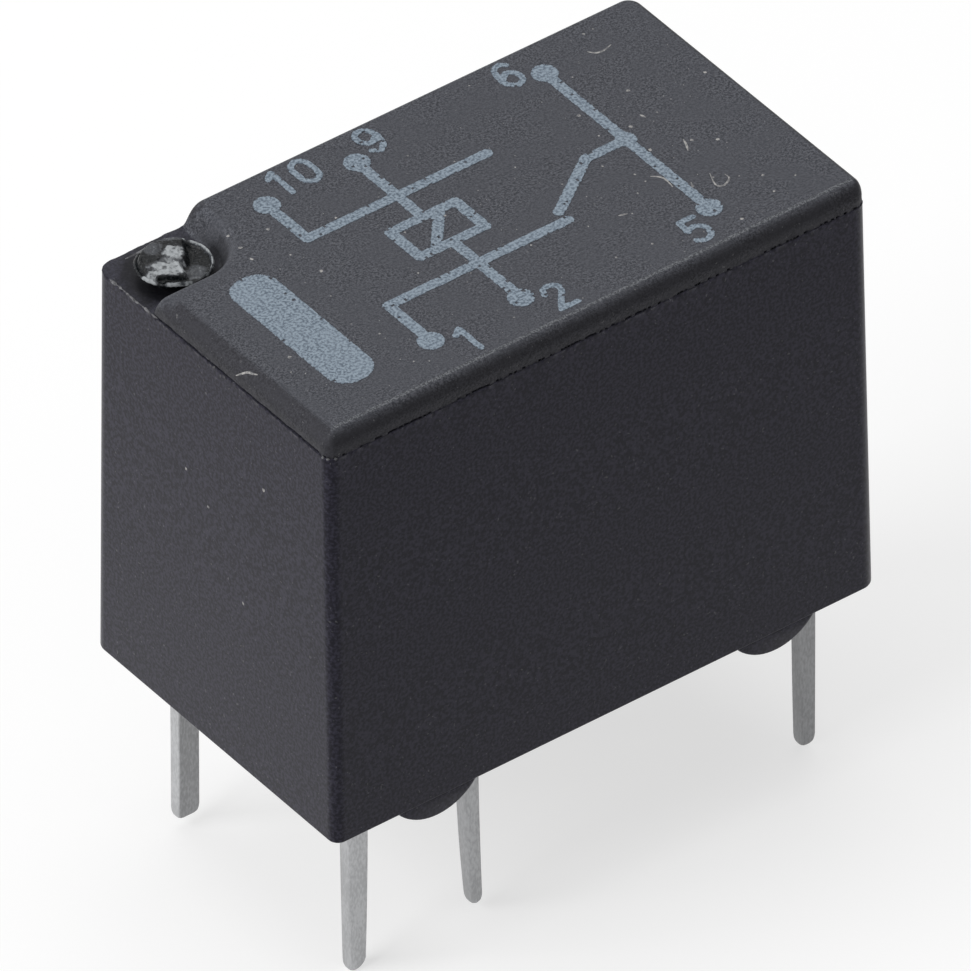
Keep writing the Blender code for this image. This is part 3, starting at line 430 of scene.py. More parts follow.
def looks():
    """Every material, by the piece of the relay that it covers."""
    return {
        "cover": cover_look(),
        "nub": nub_look(),
        "ink": ink_look(),
        "dust": dust_look("pale_dust", (0.18, 0.18, 0.185), (0.42, 0.41, 0.4)),
        "flash": dust_look("pale_flash", (0.07, 0.07, 0.075), (0.2, 0.2, 0.21)),
        "resin": resin_look(),
        "base": moulding_look("base_moulding", (0.02, 0.02, 0.021), (0.036, 0.036, 0.038)),
        "nylon": moulding_look("bobbin_nylon", (0.62, 0.6, 0.52), (0.74, 0.72, 0.64)),
        # Brightness of the wide faces, then of the faces along X; the difference is painted light
        "tin": tin_look("tinned_strip", 0.42, 0.45),
        "tin_coil": tin_look("tinned_strip_coil", 0.36, 0.4),
        "tin_strong_painted_light": tin_look("tinned_strip_strong_painted_light", 0.29, 0.49),
        "tin_dull": tin_look("tinned_strip_dull", 0.24, 0.28),
        "copper": metal_look("enamelled_copper", (0.36, 0.12, 0.05), (0.62, 0.25, 0.11),
                             0.22, 0.34, 0.002),
        "iron": metal_look("plated_iron", (0.44, 0.43, 0.41), (0.62, 0.61, 0.59),
                           0.26, 0.4, 0.004),
        "bronze": metal_look("leaf_bronze", (0.58, 0.36, 0.19), (0.78, 0.53, 0.31),
                             0.24, 0.36, 0.002, (0.08, 1.0, 1.0)),
        "silver": metal_look("contact_silver", (0.74, 0.73, 0.7), (0.9, 0.89, 0.87),
                             0.16, 0.28, 0.002),
    }


def add_piece(name, bm, look, body, smooth_angle=SMOOTH_ANGLE):
    """Turn a bmesh in millimetres into a piece that rides on a body."""
    bmesh.ops.recalc_face_normals(bm, faces=bm.faces)
    bmesh.ops.scale(bm, vec=(MM, MM, MM), verts=bm.verts)
    mesh = bpy.data.meshes.new(name)
    bm.to_mesh(mesh)
    bm.free()
    mesh.shade_smooth()
    mesh.set_sharp_from_angle(angle=smooth_angle)
    mesh.materials.append(look)
    made = bpy.data.objects.new(name, mesh)
    scene.collection.objects.link(made)
    if body is not None:
        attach(made, body)
    return made


def loft(rings, bm=None, first_cap=True, last_cap=True, closed=False):
    """Body through rings of as many points each, closed if the last joins the first."""
    bm = bm or bmesh.new()
    rows = [[bm.verts.new(point) for point in ring] for ring in rings]
    count = len(rows[0])
    for lower, upper in zip(rows, rows[1:] + rows[:1] if closed else rows[1:]):
        for i in range(count):
            j = (i + 1) % count
            bm.faces.new((lower[i], lower[j], upper[j], upper[i]))
    if first_cap:
        bm.faces.new(list(reversed(rows[0])))
    if last_cap:
        bm.faces.new(rows[-1])
    return bm, rows


def arc(centre, radius, start, end, steps):
    """Points on an arc, from one angle to the other."""
    return [
        (centre[0] + radius * cos(start + (end - start) * i / steps),
         centre[1] + radius * sin(start + (end - start) * i / steps))
        for i in range(steps + 1)
    ]


def joined(arcs, counts):
    """Closed outline through arcs, with points along the straight stretch after each."""
    points = []
    for turn, following, count in zip(arcs, arcs[1:] + arcs[:1], counts):
        start, end = Vector(turn[-1]), Vector(following[0])
        points += turn + [tuple(start.lerp(end, i / count)) for i in range(1, count)]
    return points


def rounded_rectangle(x0, x1, y1, radii, steps, counts):
    """Outline with round corners, counter-clockwise from the +X +Y corner."""
    arcs = []
    for quarter, (x, y, radius) in enumerate(zip((x1, x0, x0, x1), (y1, y1, -y1, -y1), radii)):
        centre = (x - radius if x == x1 else x + radius, y - radius if y == y1 else y + radius)
        arcs.append(arc(centre, radius, quarter * pi / 2, (quarter + 1) * pi / 2, steps))
    return joined(arcs, counts * 2)


def wall_ring(z, inset, cavity=False):
    """One level of the outer wall, or of the cavity's wall."""
    share = z / LEDGE_HEIGHT
    inset_x = DRAFT_END * share + inset + WALL_END * cavity
    inset_y = DRAFT_SIDE * share + inset + WALL_SIDE * cavity
    corners = CAVITY_CORNERS if cavity else OUTER_CORNERS
    radii = [max(radius - inset, LEAST_RADIUS) for radius in corners]
    outline = rounded_rectangle(cover_x0 + inset_x, cover_x1 - inset_x, cover_half_y - inset_y,
                                radii, CORNER_STEPS, (LONG_STEPS, SHORT_STEPS))
    return [(x, y, z) for x, y in outline]


def drawn_in(z, height, reach):
    """How far a rounding of the top edge draws a wall in at one level."""
    share = max(z - top_z + height, 0.0) / height
    return reach * (1 - sqrt(max(1 - share * share, 0.0)))


def block_ring(z, notch_foot=0.0):
    """One level of the raised block: the case's outline less the corner notch, whose walls lean."""
    rise = (z - LEDGE_HEIGHT) / block_height
    run = NOTCH_RUN * rise
    notch_shift = drawn_in(z, NOTCH_ROUND, NOTCH_ROUND_REACH) - notch_foot
    left, right, front, rear = (drawn_in(z, BLOCK_ROUND, reach) for reach in (
        BLOCK_ROUND, BLOCK_ROUND_END, BLOCK_ROUND_NEAR, BLOCK_ROUND_FAR))
    x0 = block_x0 + BLOCK_INSET + left
    x1 = block_x1 - BLOCK_INSET - right
    y0 = -block_half_y + BLOCK_INSET + front
    y1 = block_half_y - BLOCK_INSET - rear
    back_right, front_left, front_right = (
        max(radius - BLOCK_INSET - drawn, BLOCK_LEAST_RADIUS) for radius, drawn in (
            (CORNER_RADIUS, min(right, rear)), (NEAR_CORNER_RADIUS, min(left, front)),
            (CORNER_RADIUS, 2 * min(right, front))))
    lip = NOTCH_LIP_RADIUS
    near = notch_y0 + NOTCH_LEAN * (1 - rise) - notch_shift
    far = notch_x1 + run + notch_shift
    hollow = NOTCH_CORNER_RADIUS + run + notch_shift
    arcs = [
        arc((x1 - back_right, y1 - back_right), back_right, 0.0, pi / 2, CORNER_STEPS),
        arc((far + lip, y1 - lip), lip, pi / 2, pi, CORNER_STEPS // 2),
        arc((far - hollow, near + hollow), hollow, -pi / 2, 0.0, 2 * CORNER_STEPS)[::-1],
        arc((x0 + lip, near - lip), lip, pi / 2, pi, CORNER_STEPS // 2),
        arc((x0 + front_left, y0 + front_left), front_left, pi, 3 * pi / 2, CORNER_STEPS),
        arc((x1 - front_right, y0 + front_right), front_right, 3 * pi / 2, 2 * pi, CORNER_STEPS),
    ]
    counts = (LONG_STEPS, NOTCH_STEPS, NOTCH_STEPS, SHORT_STEPS, LONG_STEPS, SHORT_STEPS)
    return [(x, y, z) for x, y in joined(arcs, counts)]


def groove_opening(x, y):
    """How open the parting groove is: all along the notched end, in pits elsewhere."""
    if min(x - block_x0, block_x1 - x, block_half_y - abs(y)) > GROOVE_SEARCH:
        return 0.0
    spot = Vector((x, y, 0.0))
    if x < block_x0 + GROOVE_SEARCH and abs(y) < block_half_y - CORNER_RADIUS:
        pits = noise(spot * 9.0) + 0.6 * noise(spot * 21.0)
        return min(max(0.8 + pits, 0.15), 1.0)
    dots = noise(spot * 20.0) + 0.7 * noise(spot * 40.0) + 0.8 * noise(spot * 0.8)
    return min(max((dots - 0.16) * 2.4, 0.0), 0.8)


def grooved(ring, share):
    """Ring of the block drawn in by its share of the parting groove."""
    return shifted(ring, lambda x, y: -share * GROOVE_DEPTH * groove_opening(x, y))


def ragged(ring, shift):
    """Ring with a wandering edge, as a worn mould leaves it."""
    def wander(x, y):
        spot = Vector((x, y, shift))
        return EDGE_RAGGED * (noise(spot * 4.0) + 0.8 * noise(spot * 12.0))
    return shifted(ring, wander)


def shifted(ring, reach):
    """Ring with each point moved outwards and up by a reach worked out from its place."""
    moved = []
    for i, (x, y, z) in enumerate(ring):
        ahead = Vector(ring[(i + 1) % len(ring)][:2]) - Vector(ring[i - 1][:2])
        out = Vector((ahead.y, -ahead.x)).normalized() * reach(x, y)
        moved.append((x + out.x, y + out.y, z))
    return moved


def quarter_turn(steps):
    """What sine and cosine lack of 1 at even steps of a quarter turn."""
    turns = [step * pi / 2 / steps for step in range(steps + 1)]
    return [(1 - sin(turn), 1 - cos(turn)) for turn in turns]


def wall_rings():
    """Levels from the cavity's roof down to the rim and up the outer wall."""
    half = RIM_ROUND / 2
    levels = [(cover_top - ROOF - drop, inset) for drop, inset in CAVITY_ROOF_ROUND]
    levels += [(half * back, half * back - half) for back, _ in quarter_turn(2)]
    rings = [wall_ring(z, inset, cavity=True) for z, inset in levels]
    for inset, rise in quarter_turn(4):
        rings.append(wall_ring(RIM_ROUND * rise, RIM_ROUND * inset))
    rings.append(wall_ring(LEDGE_HEIGHT - SUPPORT, 0.0))
    for drop, inset in quarter_turn(4):
        edge = wall_ring(LEDGE_HEIGHT - PARTING_ROUND * drop, PARTING_ROUND * inset)
        rings.append(ragged(edge, 0.0) if inset else edge)
    return rings


def block_rings():
    """Levels of the raised block, from the parting groove to the rounded top edge."""
    rings = []
    for rise, foot, depth in GROOVE_LEVELS:
        ring = block_ring(LEDGE_HEIGHT + GROOVE_HEIGHT * rise, NOTCH_FOOT * foot)
        rings.append(grooved(ragged(ring, 1.0), depth))
    rings.append(block_ring(LEDGE_HEIGHT + SUPPORT))
    drops = [drop for drop, _ in quarter_turn(BLOCK_ROUND_STEPS)]
    return rings + [block_ring(top_z - BLOCK_ROUND * drop) for drop in drops]


def standoff(x, side):
    """Half-moon foot moulded on the rim, its lower edge rounded."""
    half = STANDOFF_CHORD / 2
    radius = (half * half + STANDOFF_DEPTH * STANDOFF_DEPTH) / (2 * STANDOFF_DEPTH)
    centre_z = radius - STANDOFF_DEPTH
    outer = cover_half_y - STANDOFF_SETBACK
    inner = cover_half_y - WALL_SIDE + STANDOFF_SETBACK
    rounding = ((0.0, 1.0), (0.3, 0.3), (1.0, 0.0))
    levels = [(outer - run * STANDOFF_ROUND, back) for run, back in rounding]
    levels += [(inner + run * STANDOFF_ROUND, back) for run, back in rounding[::-1]]
    rings = []
    for y, back in levels:
        shrunk = radius - STANDOFF_ROUND * back
        swing = np.arccos((centre_z - STANDOFF_ROOT) / shrunk)
        lobe = arc((x, centre_z), shrunk, -pi / 2 - swing, -pi / 2 + swing, STANDOFF_STEPS)
        rings.append([(a, side * y, b) for a, b in lobe])
    return loft(rings)[0]


def unite(piece, bm):
    """Join a shape to a piece for good."""
    guide = add_piece("guide", bm, piece.data.materials[0], None)
    step = piece.modifiers.new("join", "BOOLEAN")
    step.operation = "UNION"
    step.object = guide
    bpy.context.view_layer.update()
    shown = piece.evaluated_get(bpy.context.evaluated_depsgraph_get())
    mesh = bpy.data.meshes.new_from_object(shown)
    piece.modifiers.clear()
    piece.data = mesh
    bpy.data.objects.remove(guide, do_unlink=True)


def make_cover(look):
    """Whole cover: cavity, walls, parting groove, block with its notch, and standoffs."""
    bm, wall_rows = loft(wall_rings(), last_cap=False)
    bm, block_rows = loft(block_rings(), bm, first_cap=False)
    edges = [bm.edges.get((vertex, row[(i + 1) % len(row)]))
             for row in (wall_rows[-1], block_rows[0]) for i, vertex in enumerate(row)]
    bmesh.ops.triangle_fill(bm, edges=edges, use_beauty=True)
    made = add_piece("cover_shell", bm, look, None)
    pad = bmesh.new()
    low = Vector((cover_x0 + WALL_END / 2, notch_y0 - PAD_THICKNESS, LEDGE_HEIGHT - PAD_THICKNESS))
    high = Vector((notch_x1 + PAD_THICKNESS, block_half_y - WALL_SIDE / 2,
                   cover_top - ROOF + PAD_THICKNESS / 8))
    place = Matrix.Translation((low + high) / 2) @ Matrix.Diagonal((*(high - low), 1.0))
    bmesh.ops.create_cube(pad, size=1.0, matrix=place)
    unite(made, pad)
    for end in (-1, 1):
        for side in (-1, 1):
            unite(made, standoff(cover_centre_x + end * STANDOFF_SPACING / 2, side))
    made.data.shade_smooth()
    made.data.set_sharp_from_angle(angle=SMOOTH_ANGLE)
    made.modifiers.new("flat_faces", "WEIGHTED_NORMAL").keep_sharp = True
    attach(made, HOUSING)
    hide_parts("cover")


def ease(value, low, high):
    """0 below one limit, 1 above the other, smooth between them."""
    share = min(max((value - low) / (high - low), 0.0), 1.0)
    return share * share * (3 - 2 * share)


def nub_front(side):
    """Depth of the melted mass's front edge."""
    wander = noise(Vector((side * 4.0, 1.0, 0.0)))
    return -0.46 - 0.13 * ease(-side, 0.26, 0.34) + 0.03 * wander


def rim_share(side, depth, wander=0.0):
    """How pronounced the rim is at an angle round the nub, from 0 to 1."""
    angle = atan2(depth, side)
    strongest = 0.08
    for middle, half, strength in NUB_RIM_ARCS:
        away = abs((angle - radians(middle) + pi) % (2 * pi) - pi)
        reach = ease(radians(half) * (1.1 + 0.5 * wander) - away, 0.0, 0.12)
        strongest = max(strongest, strength * reach)
    return strongest


def nub_height(side, depth, share):
    """Height of the melted nub's top above the ledge; side and depth as the photo sees it."""
    spot = Vector((side, depth, 0.0))
    wander = noise(spot * 3.5 + Vector((2.0, 5.0, 0.0)))
    mound = ease(0.28 + 0.08 * wander - side, 0.0, 0.14)
    mound *= ease(depth - nub_front(side), 0.0, 0.035)
    mound *= ease(0.93 - share, 0.0, 0.1)
    crown = 0.15 + 0.1 * min(depth + 0.06, 0.0)
    crown -= 0.012 * exp(-((depth + 0.04 + 0.08 * wander) / 0.05) ** 2)
    height = NUB_FLOOR + 0.03 * share * share + crown * mound
    height -= 0.05 * ease(side, 0.22, 0.34) * ease(depth, -0.1, 0.05) * (1 - share ** 6)
    rim = 0.3 + 0.75 * rim_share(side, depth)
    height += NUB_RIM_RIDGE * rim * exp(-((share - 0.955) / 0.032) ** 2)
    lumps = 0.03 * noise(spot * 5.0) + 0.018 * noise(spot * 11.0)
    return height + lumps * (1 - share ** 6) + 0.009 * noise(spot * 23.0)


def painted_nub_light(side, depth, share):
    """Painted light on the melted nub, from 0 to 1: painted highlights and reflections where high,
    painted shade where low.
    """
    spot = Vector((side, depth, 0.0))
    wander = 0.3 * noise(spot * 6.0) + 0.22 * noise(spot * 17.0)
    pale = 0.0
    for x, y, half_x, half_y, strength in NUB_HIGHLIGHT_PATCHES:
        away = hypot((side - x) / half_x, (depth - y) / half_y)
        pale = max(pale, strength * ease(1.14 + wander - away, 0.0, 0.42))
    # Painted shade on the steep front face of the melted mass
    pale *= ease(depth - nub_front(side), 0.02, 0.05)
    # Painted highlight along the rim
    return max(pale, (rim_share(side, depth, wander) + 0.3 * wander) * ease(share, 0.912, 0.938))


def make_nub(look):
    """Vent nib melted shut: an undercut stem, a ragged rim and a lopsided glossy top."""
    centre = Vector((nub_x, nub_y))
    across = Vector((cos(AZIMUTH), sin(AZIMUTH)))
    away = Vector((-sin(AZIMUTH), cos(AZIMUTH)))
    angles = [2 * pi * i / NUB_SEGMENTS for i in range(NUB_SEGMENTS)]
    rims = []
    for angle in angles:
        wander = noise(Vector((cos(angle), sin(angle), 0.3)) * 2.2)
        wander += 0.6 * noise(Vector((cos(angle), sin(angle), 2.0)) * 9.0)
        swell = 0.035 * max(cos(angle), 0.0) - 0.11 * max(-sin(angle), 0.0) ** 2
        rims.append(NUB_RADIUS * (0.985 + 0.025 * wander + swell))

    def ring(share, height):
        points = []
        for angle, rim in zip(angles, rims):
            side, depth = rim * share * cos(angle), rim * share * sin(angle)
            offset = across * side + away * depth
            z = nub_height(side, depth, share) if height is None else height
            points.append((centre.x + offset.x, centre.y + offset.y, LEDGE_HEIGHT + z))
        return points

    rings = [ring(share, height) for share, height in NUB_STEM_LEVELS]
    rings += [ring(1 - step / NUB_ROUNDS, None) for step in range(1, NUB_ROUNDS)]
    bm, _rows = loft(rings)
    # Store the painted light for each point of the top
    painted_light_layer = bm.verts.layers.float.new(PAINTED_LIGHT_ATTRIBUTE)
    for i, vertex in enumerate(bm.verts):
        share = 1 - (i // NUB_SEGMENTS - len(NUB_STEM_LEVELS) + 1) / NUB_ROUNDS
        if share <= 1:
            offset = vertex.co.xy - centre
            vertex[painted_light_layer] = painted_nub_light(offset.dot(across), offset.dot(away), share)
    made = add_piece("vent_nub", bm, look, HOUSING, radians(80))


# Print: a direction bar and a plain wiring diagram, read along +X
BAR_X = -4.66
BAR_Y0 = -2.42
BAR_Y1 = 1.14
BAR_HALF_WIDTH = 0.48
BAR_ROUND = 0.42
LINE = 0.11
DOT_RADIUS = 0.25
CONTACT_COLUMN = -3.05
COIL_COLUMN = -1.05
COMMON_COLUMN = 3.15
NEAR_ROW = -2.3
FAR_ROW = 2.55
MIDDLE_ROW = 0.15
COIL_HALF_X = 0.72
COIL_HALF_Y = 0.44
ARM_SPREAD = 1.2
ARM_END = 0.95
BLADE_ROOT = 2.25
NUMBER_SHIFT = 0.56
NUMBER_RISE = 0.36
DIGIT_HEIGHT = 0.66
DIGIT_WIDTH = 0.36
DIGIT_PITCH = 0.56
DIGIT_LINE = 0.062
INK_CELL = 0.026
INK_RAGGED = 0.014
INK_SINK = 0.002
NUMBERS = (
    ("1", CONTACT_COLUMN, NEAR_ROW, 1), ("2", COIL_COLUMN, NEAR_ROW, 1),
    ("5", COMMON_COLUMN, NEAR_ROW, -1), ("6", COMMON_COLUMN, FAR_ROW, -1),
    ("9", COIL_COLUMN, FAR_ROW, 1), ("10", CONTACT_COLUMN, FAR_ROW, 1),
)
DIGIT_STROKES = {
    "0": (((0.5, 0), (0.92, 0.3), (1, 1), (0.92, 1.7), (0.5, 2), (0.08, 1.7), (0, 1), (0.08, 0.3),
           (0.5, 0)),),
    "1": (((0.15, 1.6), (0.6, 2)), ((0.6, 2), (0.6, 0))),
    "2": (((0, 1.5), (0.15, 1.87), (0.55, 2), (0.93, 1.75), (0.9, 1.3), (0.5, 0.75), (0, 0)),
          ((0, 0), (1, 0))),
    "5": (((0.95, 2), (0.12, 2)), ((0.12, 2), (0.05, 1.08)),
          ((0.05, 1.08), (0.45, 1.3), (0.88, 1.1), (1, 0.65), (0.85, 0.18), (0.4, 0), (0, 0.25))),
    "6": (((0.92, 1.75), (0.55, 2), (0.15, 1.7), (0, 1), (0.05, 0.4), (0.5, 0), (0.93, 0.25),
           (0.95, 0.85), (0.55, 1.2), (0.05, 0.8)),),
}
DIGIT_STROKES["9"] = [[(1 - a, 2 - b) for a, b in stroke] for stroke in DIGIT_STROKES["6"]]


def number_lines(text, x, y):
    """Strokes of a plain number, centred on a place."""
    lines = []
    start = x - (DIGIT_PITCH * (len(text) - 1) + DIGIT_WIDTH) / 2
    for place, digit in enumerate(text):
        for stroke in DIGIT_STROKES[digit]:
            points = [(start + place * DIGIT_PITCH + a * DIGIT_WIDTH,
                       y + (b / 2 - 0.5) * DIGIT_HEIGHT) for a, b in stroke]
            lines += path_lines(*smooth_path(points, 3), half=DIGIT_LINE)
    return lines


def path_lines(*points, half=LINE):
    """Lines of one half width through points."""
    return [(*p, *q, half) for p, q in zip(points, points[1:])]


def diagram_lines():
    """Lines as (x0, y0, x1, y1, half width): coil, two arms, blade, terminal dots, numbers."""
    left, right = COIL_COLUMN - COIL_HALF_X, COIL_COLUMN + COIL_HALF_X
    low, high = MIDDLE_ROW - COIL_HALF_Y, MIDDLE_ROW + COIL_HALF_Y
    near, far = MIDDLE_ROW - ARM_SPREAD, MIDDLE_ROW + ARM_SPREAD
    paths = (
        ((left, low), (right, low), (right, high), (left, high), (left, low)),
        ((left + COIL_HALF_X / 2, low), (right - COIL_HALF_X / 2, high)),
        ((COIL_COLUMN, NEAR_ROW), (COIL_COLUMN, low)),
        ((COIL_COLUMN, high), (COIL_COLUMN, FAR_ROW)),
        ((CONTACT_COLUMN, NEAR_ROW), (CONTACT_COLUMN, near), (ARM_END, near)),
        ((CONTACT_COLUMN, FAR_ROW), (CONTACT_COLUMN, far), (ARM_END, far)),
        ((COMMON_COLUMN, NEAR_ROW), (COMMON_COLUMN, FAR_ROW)),
        ((COMMON_COLUMN, MIDDLE_ROW), (BLADE_ROOT, MIDDLE_ROW), (ARM_END, near + 2.5 * LINE)),
    )
    lines = [line for path in paths for line in path_lines(*path)]
    lines.append((COMMON_COLUMN, MIDDLE_ROW, COMMON_COLUMN, MIDDLE_ROW, DOT_RADIUS * 0.8))
    for text, column, row, side in NUMBERS:
        lines.append((column, row, column, row, DOT_RADIUS))
        shift = side * (NUMBER_SHIFT + DIGIT_PITCH * (len(text) - 1) / 2)
        lines += number_lines(text, column + shift, row + (NUMBER_RISE if row > 0 else -NUMBER_RISE))
    return lines


def ink_distance(x, y):
    """Distance from the edge of the print, negative inside it, for arrays of places."""
    middle = (BAR_Y0 + BAR_Y1) / 2
    across = np.abs(x - BAR_X) - BAR_HALF_WIDTH + BAR_ROUND
    along = np.abs(y - middle) - (BAR_Y1 - BAR_Y0) / 2 + BAR_ROUND
    nearest = np.hypot(np.maximum(across, 0.0), np.maximum(along, 0.0))
    nearest = nearest + np.minimum(np.maximum(across, along), 0.0) - BAR_ROUND
    for x0, y0, x1, y1, half in diagram_lines():
        length = max((x1 - x0) ** 2 + (y1 - y0) ** 2, 1e-9)
        share = np.clip(((x - x0) * (x1 - x0) + (y - y0) * (y1 - y0)) / length, 0.0, 1.0)
        gap = np.hypot(x - x0 - share * (x1 - x0), y - y0 - share * (y1 - y0)) - half
        nearest = np.minimum(nearest, gap)
    return nearest


def make_print(look):
    """Thin film of ink whose ragged edges and pinholes follow a distance field."""
    columns = np.arange(BAR_X - 0.7, COMMON_COLUMN + 0.5, INK_CELL)
    rows = np.arange(NEAR_ROW - 0.9, FAR_ROW + 0.9, INK_CELL)
    x, y = np.meshgrid(columns, rows, indexing="ij")
    field = ink_distance(x, y)
    for i, j in np.argwhere(field < 3 * INK_CELL):
        spot = Vector((columns[i], rows[j], 0.0))
        field[i, j] += INK_RAGGED * (noise(spot * 11.0) + 0.6 * noise(spot * 27.0))
        hole = noise(spot * 15.0 + Vector((7.0, 3.0, 1.0)))
        field[i, j] += max(hole - 0.52, 0.0) * 0.8
    slope_x, slope_y = np.gradient(field, INK_CELL)
    inside = field < INK_CELL * 0.5
    cells = inside[:-1, :-1] & inside[1:, :-1] & inside[:-1, 1:] & inside[1:, 1:]
    bm = bmesh.new()
    vertices = {}

    def corner(i, j):
        if (i, j) not in vertices:
            near = field[i, j] if abs(field[i, j]) < INK_CELL * 0.5 else 0.0
            steep = max(hypot(slope_x[i, j], slope_y[i, j]), 0.5) ** 2
            vertices[i, j] = bm.verts.new((x[i, j] - near * slope_x[i, j] / steep,
                                           y[i, j] - near * slope_y[i, j] / steep, cover_top))
        return vertices[i, j]

    for i, j in np.argwhere(cells):
        bm.faces.new((corner(i, j), corner(i + 1, j), corner(i + 1, j + 1), corner(i, j + 1)))
    film = bmesh.ops.extrude_face_region(bm, geom=bm.faces[:], use_keep_orig=True)
    lower = [part for part in film["geom"] if isinstance(part, bmesh.types.BMVert)]
    bmesh.ops.translate(bm, verts=lower, vec=(0.0, 0.0, -INK_THICKNESS - INK_SINK))
    add_piece("print_marks", bm, look, HOUSING)


# Dust on the cover: flakes at random, and the specks and short fibres that the photo shows
FLAKES = 230
FLAKE_LOW = 0.008
FLAKE_HIGH = 0.03
FLAKE_MARGIN = 0.43
FLAKE_MARGIN_SIDE = 0.34
SPECK_SIZE = 0.042
SPECKS = (
    (4.03, 1.25), (3.44, 0.39), (5.44, 0.83), (4.07, -0.57), (4.45, -0.84), (4.47, -2.14),
    (2.9, 1.22), (3.41, -2.9), (3.32, -0.35), (-3.44, 1.99), (-4.12, 2.27), (-4.14, 1.88),
    (-4.18, 1.49), (-3.41, 0.46), (-5.31, -1.14),
)
END_SPECKS = ((0.78, 5.81), (0.13, 5.37), (-0.91, 3.82), (-1.53, 6.81))
FIBRE_HALF_WIDTH = 0.022
FIBRE_HEIGHT = 0.006
TOP_FIBRES = (
    ((4.13, 2.59), (4.24, 2.46), (4.4, 2.44), (4.59, 2.49)),
    ((3.78, 0.57), (3.82, 0.44)),
    ((3.97, -0.46), (3.92, -0.61), (3.84, -0.77)),
    ((2.86, -0.95), (2.99, -1.08), (3.02, -1.25), (2.99, -1.44)),
    ((3.33, -1.53), (3.26, -1.65), (3.06, -1.69)),
    ((3.75, -1.53), (3.64, -1.84), (3.74, -1.95), (3.94, -1.85), (3.95, -1.71)),
    ((1.73, -1.5), (1.89, -1.55)),
)
EDGE_FIBRE = ((-6.173, -0.71, 8.88), (-6.173, -0.82, 8.99), (-6.121, -0.955, 9.11),
              (-6.088, -1.06, 9.133), (-6.041, -1.154, 9.15))
LEDGE_FIBRES = (
    ((-5.62, 3.335), (-5.51, 3.33), (-5.41, 3.335), (-5.26, 3.35), (-5.12, 3.37)),
    ((-5.36, 3.3), (-5.22, 3.32), (-5.08, 3.34), (-4.97, 3.35)),
)
FLASH_SIZE = 0.05
FLASH = ((-6.175, -3.28), (-6.165, -3.39), (-6.07, -3.52), (-6.175, -0.08))
# Pale burr on the notched end's parting edge: partly a real burr, partly a painted highlight
HIGHLIGHT_BURR_Y0 = 1.6
HIGHLIGHT_BURR_Y1 = 3.06
HIGHLIGHT_BURR_SIZE = 0.032
HIGHLIGHT_BURR_EASE = 0.1
HIGHLIGHT_BURR_LEAST = 0.002


def smooth_path(points, steps=6):
    """Catmull-Rom curve through points."""
    ends = [points[0]] + list(points) + [points[-1]]
    path = []
    for a, b, c, d in zip(ends, ends[1:], ends[2:], ends[3:]):
        a, b, c, d = (Vector(p) for p in (a, b, c, d))
        for i in range(steps):
            t = i / steps
            path.append(0.5 * (2 * b + (c - a) * t + (2 * a - 5 * b + 4 * c - d) * t ** 2
                               + (3 * b - a - 3 * c + d) * t ** 3))
    return path + [Vector(points[-1])]


def settled(spot):
    """Nearest place on the block's top, end or the rounding between them, and the way out."""
    axis_x = block_x0 + BLOCK_INSET + BLOCK_ROUND
    away = Vector((min(spot.x - axis_x, 0.0), 0.0, max(spot.z - top_z + BLOCK_ROUND, 0.0)))
    normal = away.normalized()
    return spot + normal * (BLOCK_ROUND - away.length), normal


def make_fibres(name, fibres, place, look):
    """Fine fibres whose points are set down by a function that also gives the way out."""
    bm = bmesh.new()
    for points in fibres:
        path = smooth_path(points)
        rings = []
        for i, spot in enumerate(path):
            spot, normal = place(spot)
            ahead = path[min(i + 1, len(path) - 1)] - path[max(i - 1, 0)]
            half = FIBRE_HALF_WIDTH * (0.35 + 0.65 * sin(pi * i / (len(path) - 1)))
            aside = ahead.cross(normal).normalized() * half
            rings.append([spot - aside, spot - normal * 0.002,
                          spot + aside, spot + normal * FIBRE_HEIGHT])
        loft(rings, bm)
    add_piece(name, bm, look, HOUSING)


def make_flash(look):
    """Bits of pale flash caught in the parting line near the notched end, and a pale burr along that
    end's parting edge, partly a painted highlight.
    """
    bm = bmesh.new()
    line = wall_ring(LEDGE_HEIGHT, 0.0)
    for x, y in FLASH:
        spot = Vector(min(line, key=lambda point: hypot(point[0] - x, point[1] - y)))
        size = FLASH_SIZE * (0.7 + 0.6 * abs(noise(spot * 3.0)))
        place = Matrix.Translation(spot) @ Matrix.Diagonal((size, size, size * 0.7, 1.0))
        made = bmesh.ops.create_icosphere(bm, subdivisions=3, radius=0.7, matrix=place)
        for vertex in made["verts"]:
            vertex.co = spot + (vertex.co - spot) * (1 + 0.5 * noise(vertex.co * 25.0))
    # Pale burr on the parting edge: partly a real burr, partly a painted highlight
    rings = []
    for x, y, z in ragged(wall_ring(LEDGE_HEIGHT, PARTING_ROUND / 2), 0.0):
        if x < 0.0 and HIGHLIGHT_BURR_Y0 < y < HIGHLIGHT_BURR_Y1:
            ends = ease(y, HIGHLIGHT_BURR_Y0, HIGHLIGHT_BURR_Y0 + HIGHLIGHT_BURR_EASE) * ease(HIGHLIGHT_BURR_Y1 - y, 0.0, HIGHLIGHT_BURR_EASE)
            thick = 0.45 + noise(Vector((y * 5.0, 0.0, 0.0))) + noise(Vector((y * 13.0, 4.0, 0.0)))
            size = HIGHLIGHT_BURR_SIZE * min(max(thick, 0.08), 1.2) * ends + HIGHLIGHT_BURR_LEAST
            rings.append([(x + size * cos(turn * pi / 3), y, z + size * sin(turn * pi / 3))
                          for turn in range(6)])
    loft(rings, bm)
    add_piece("edge_flash_and_highlight_burr", bm, look, HOUSING)


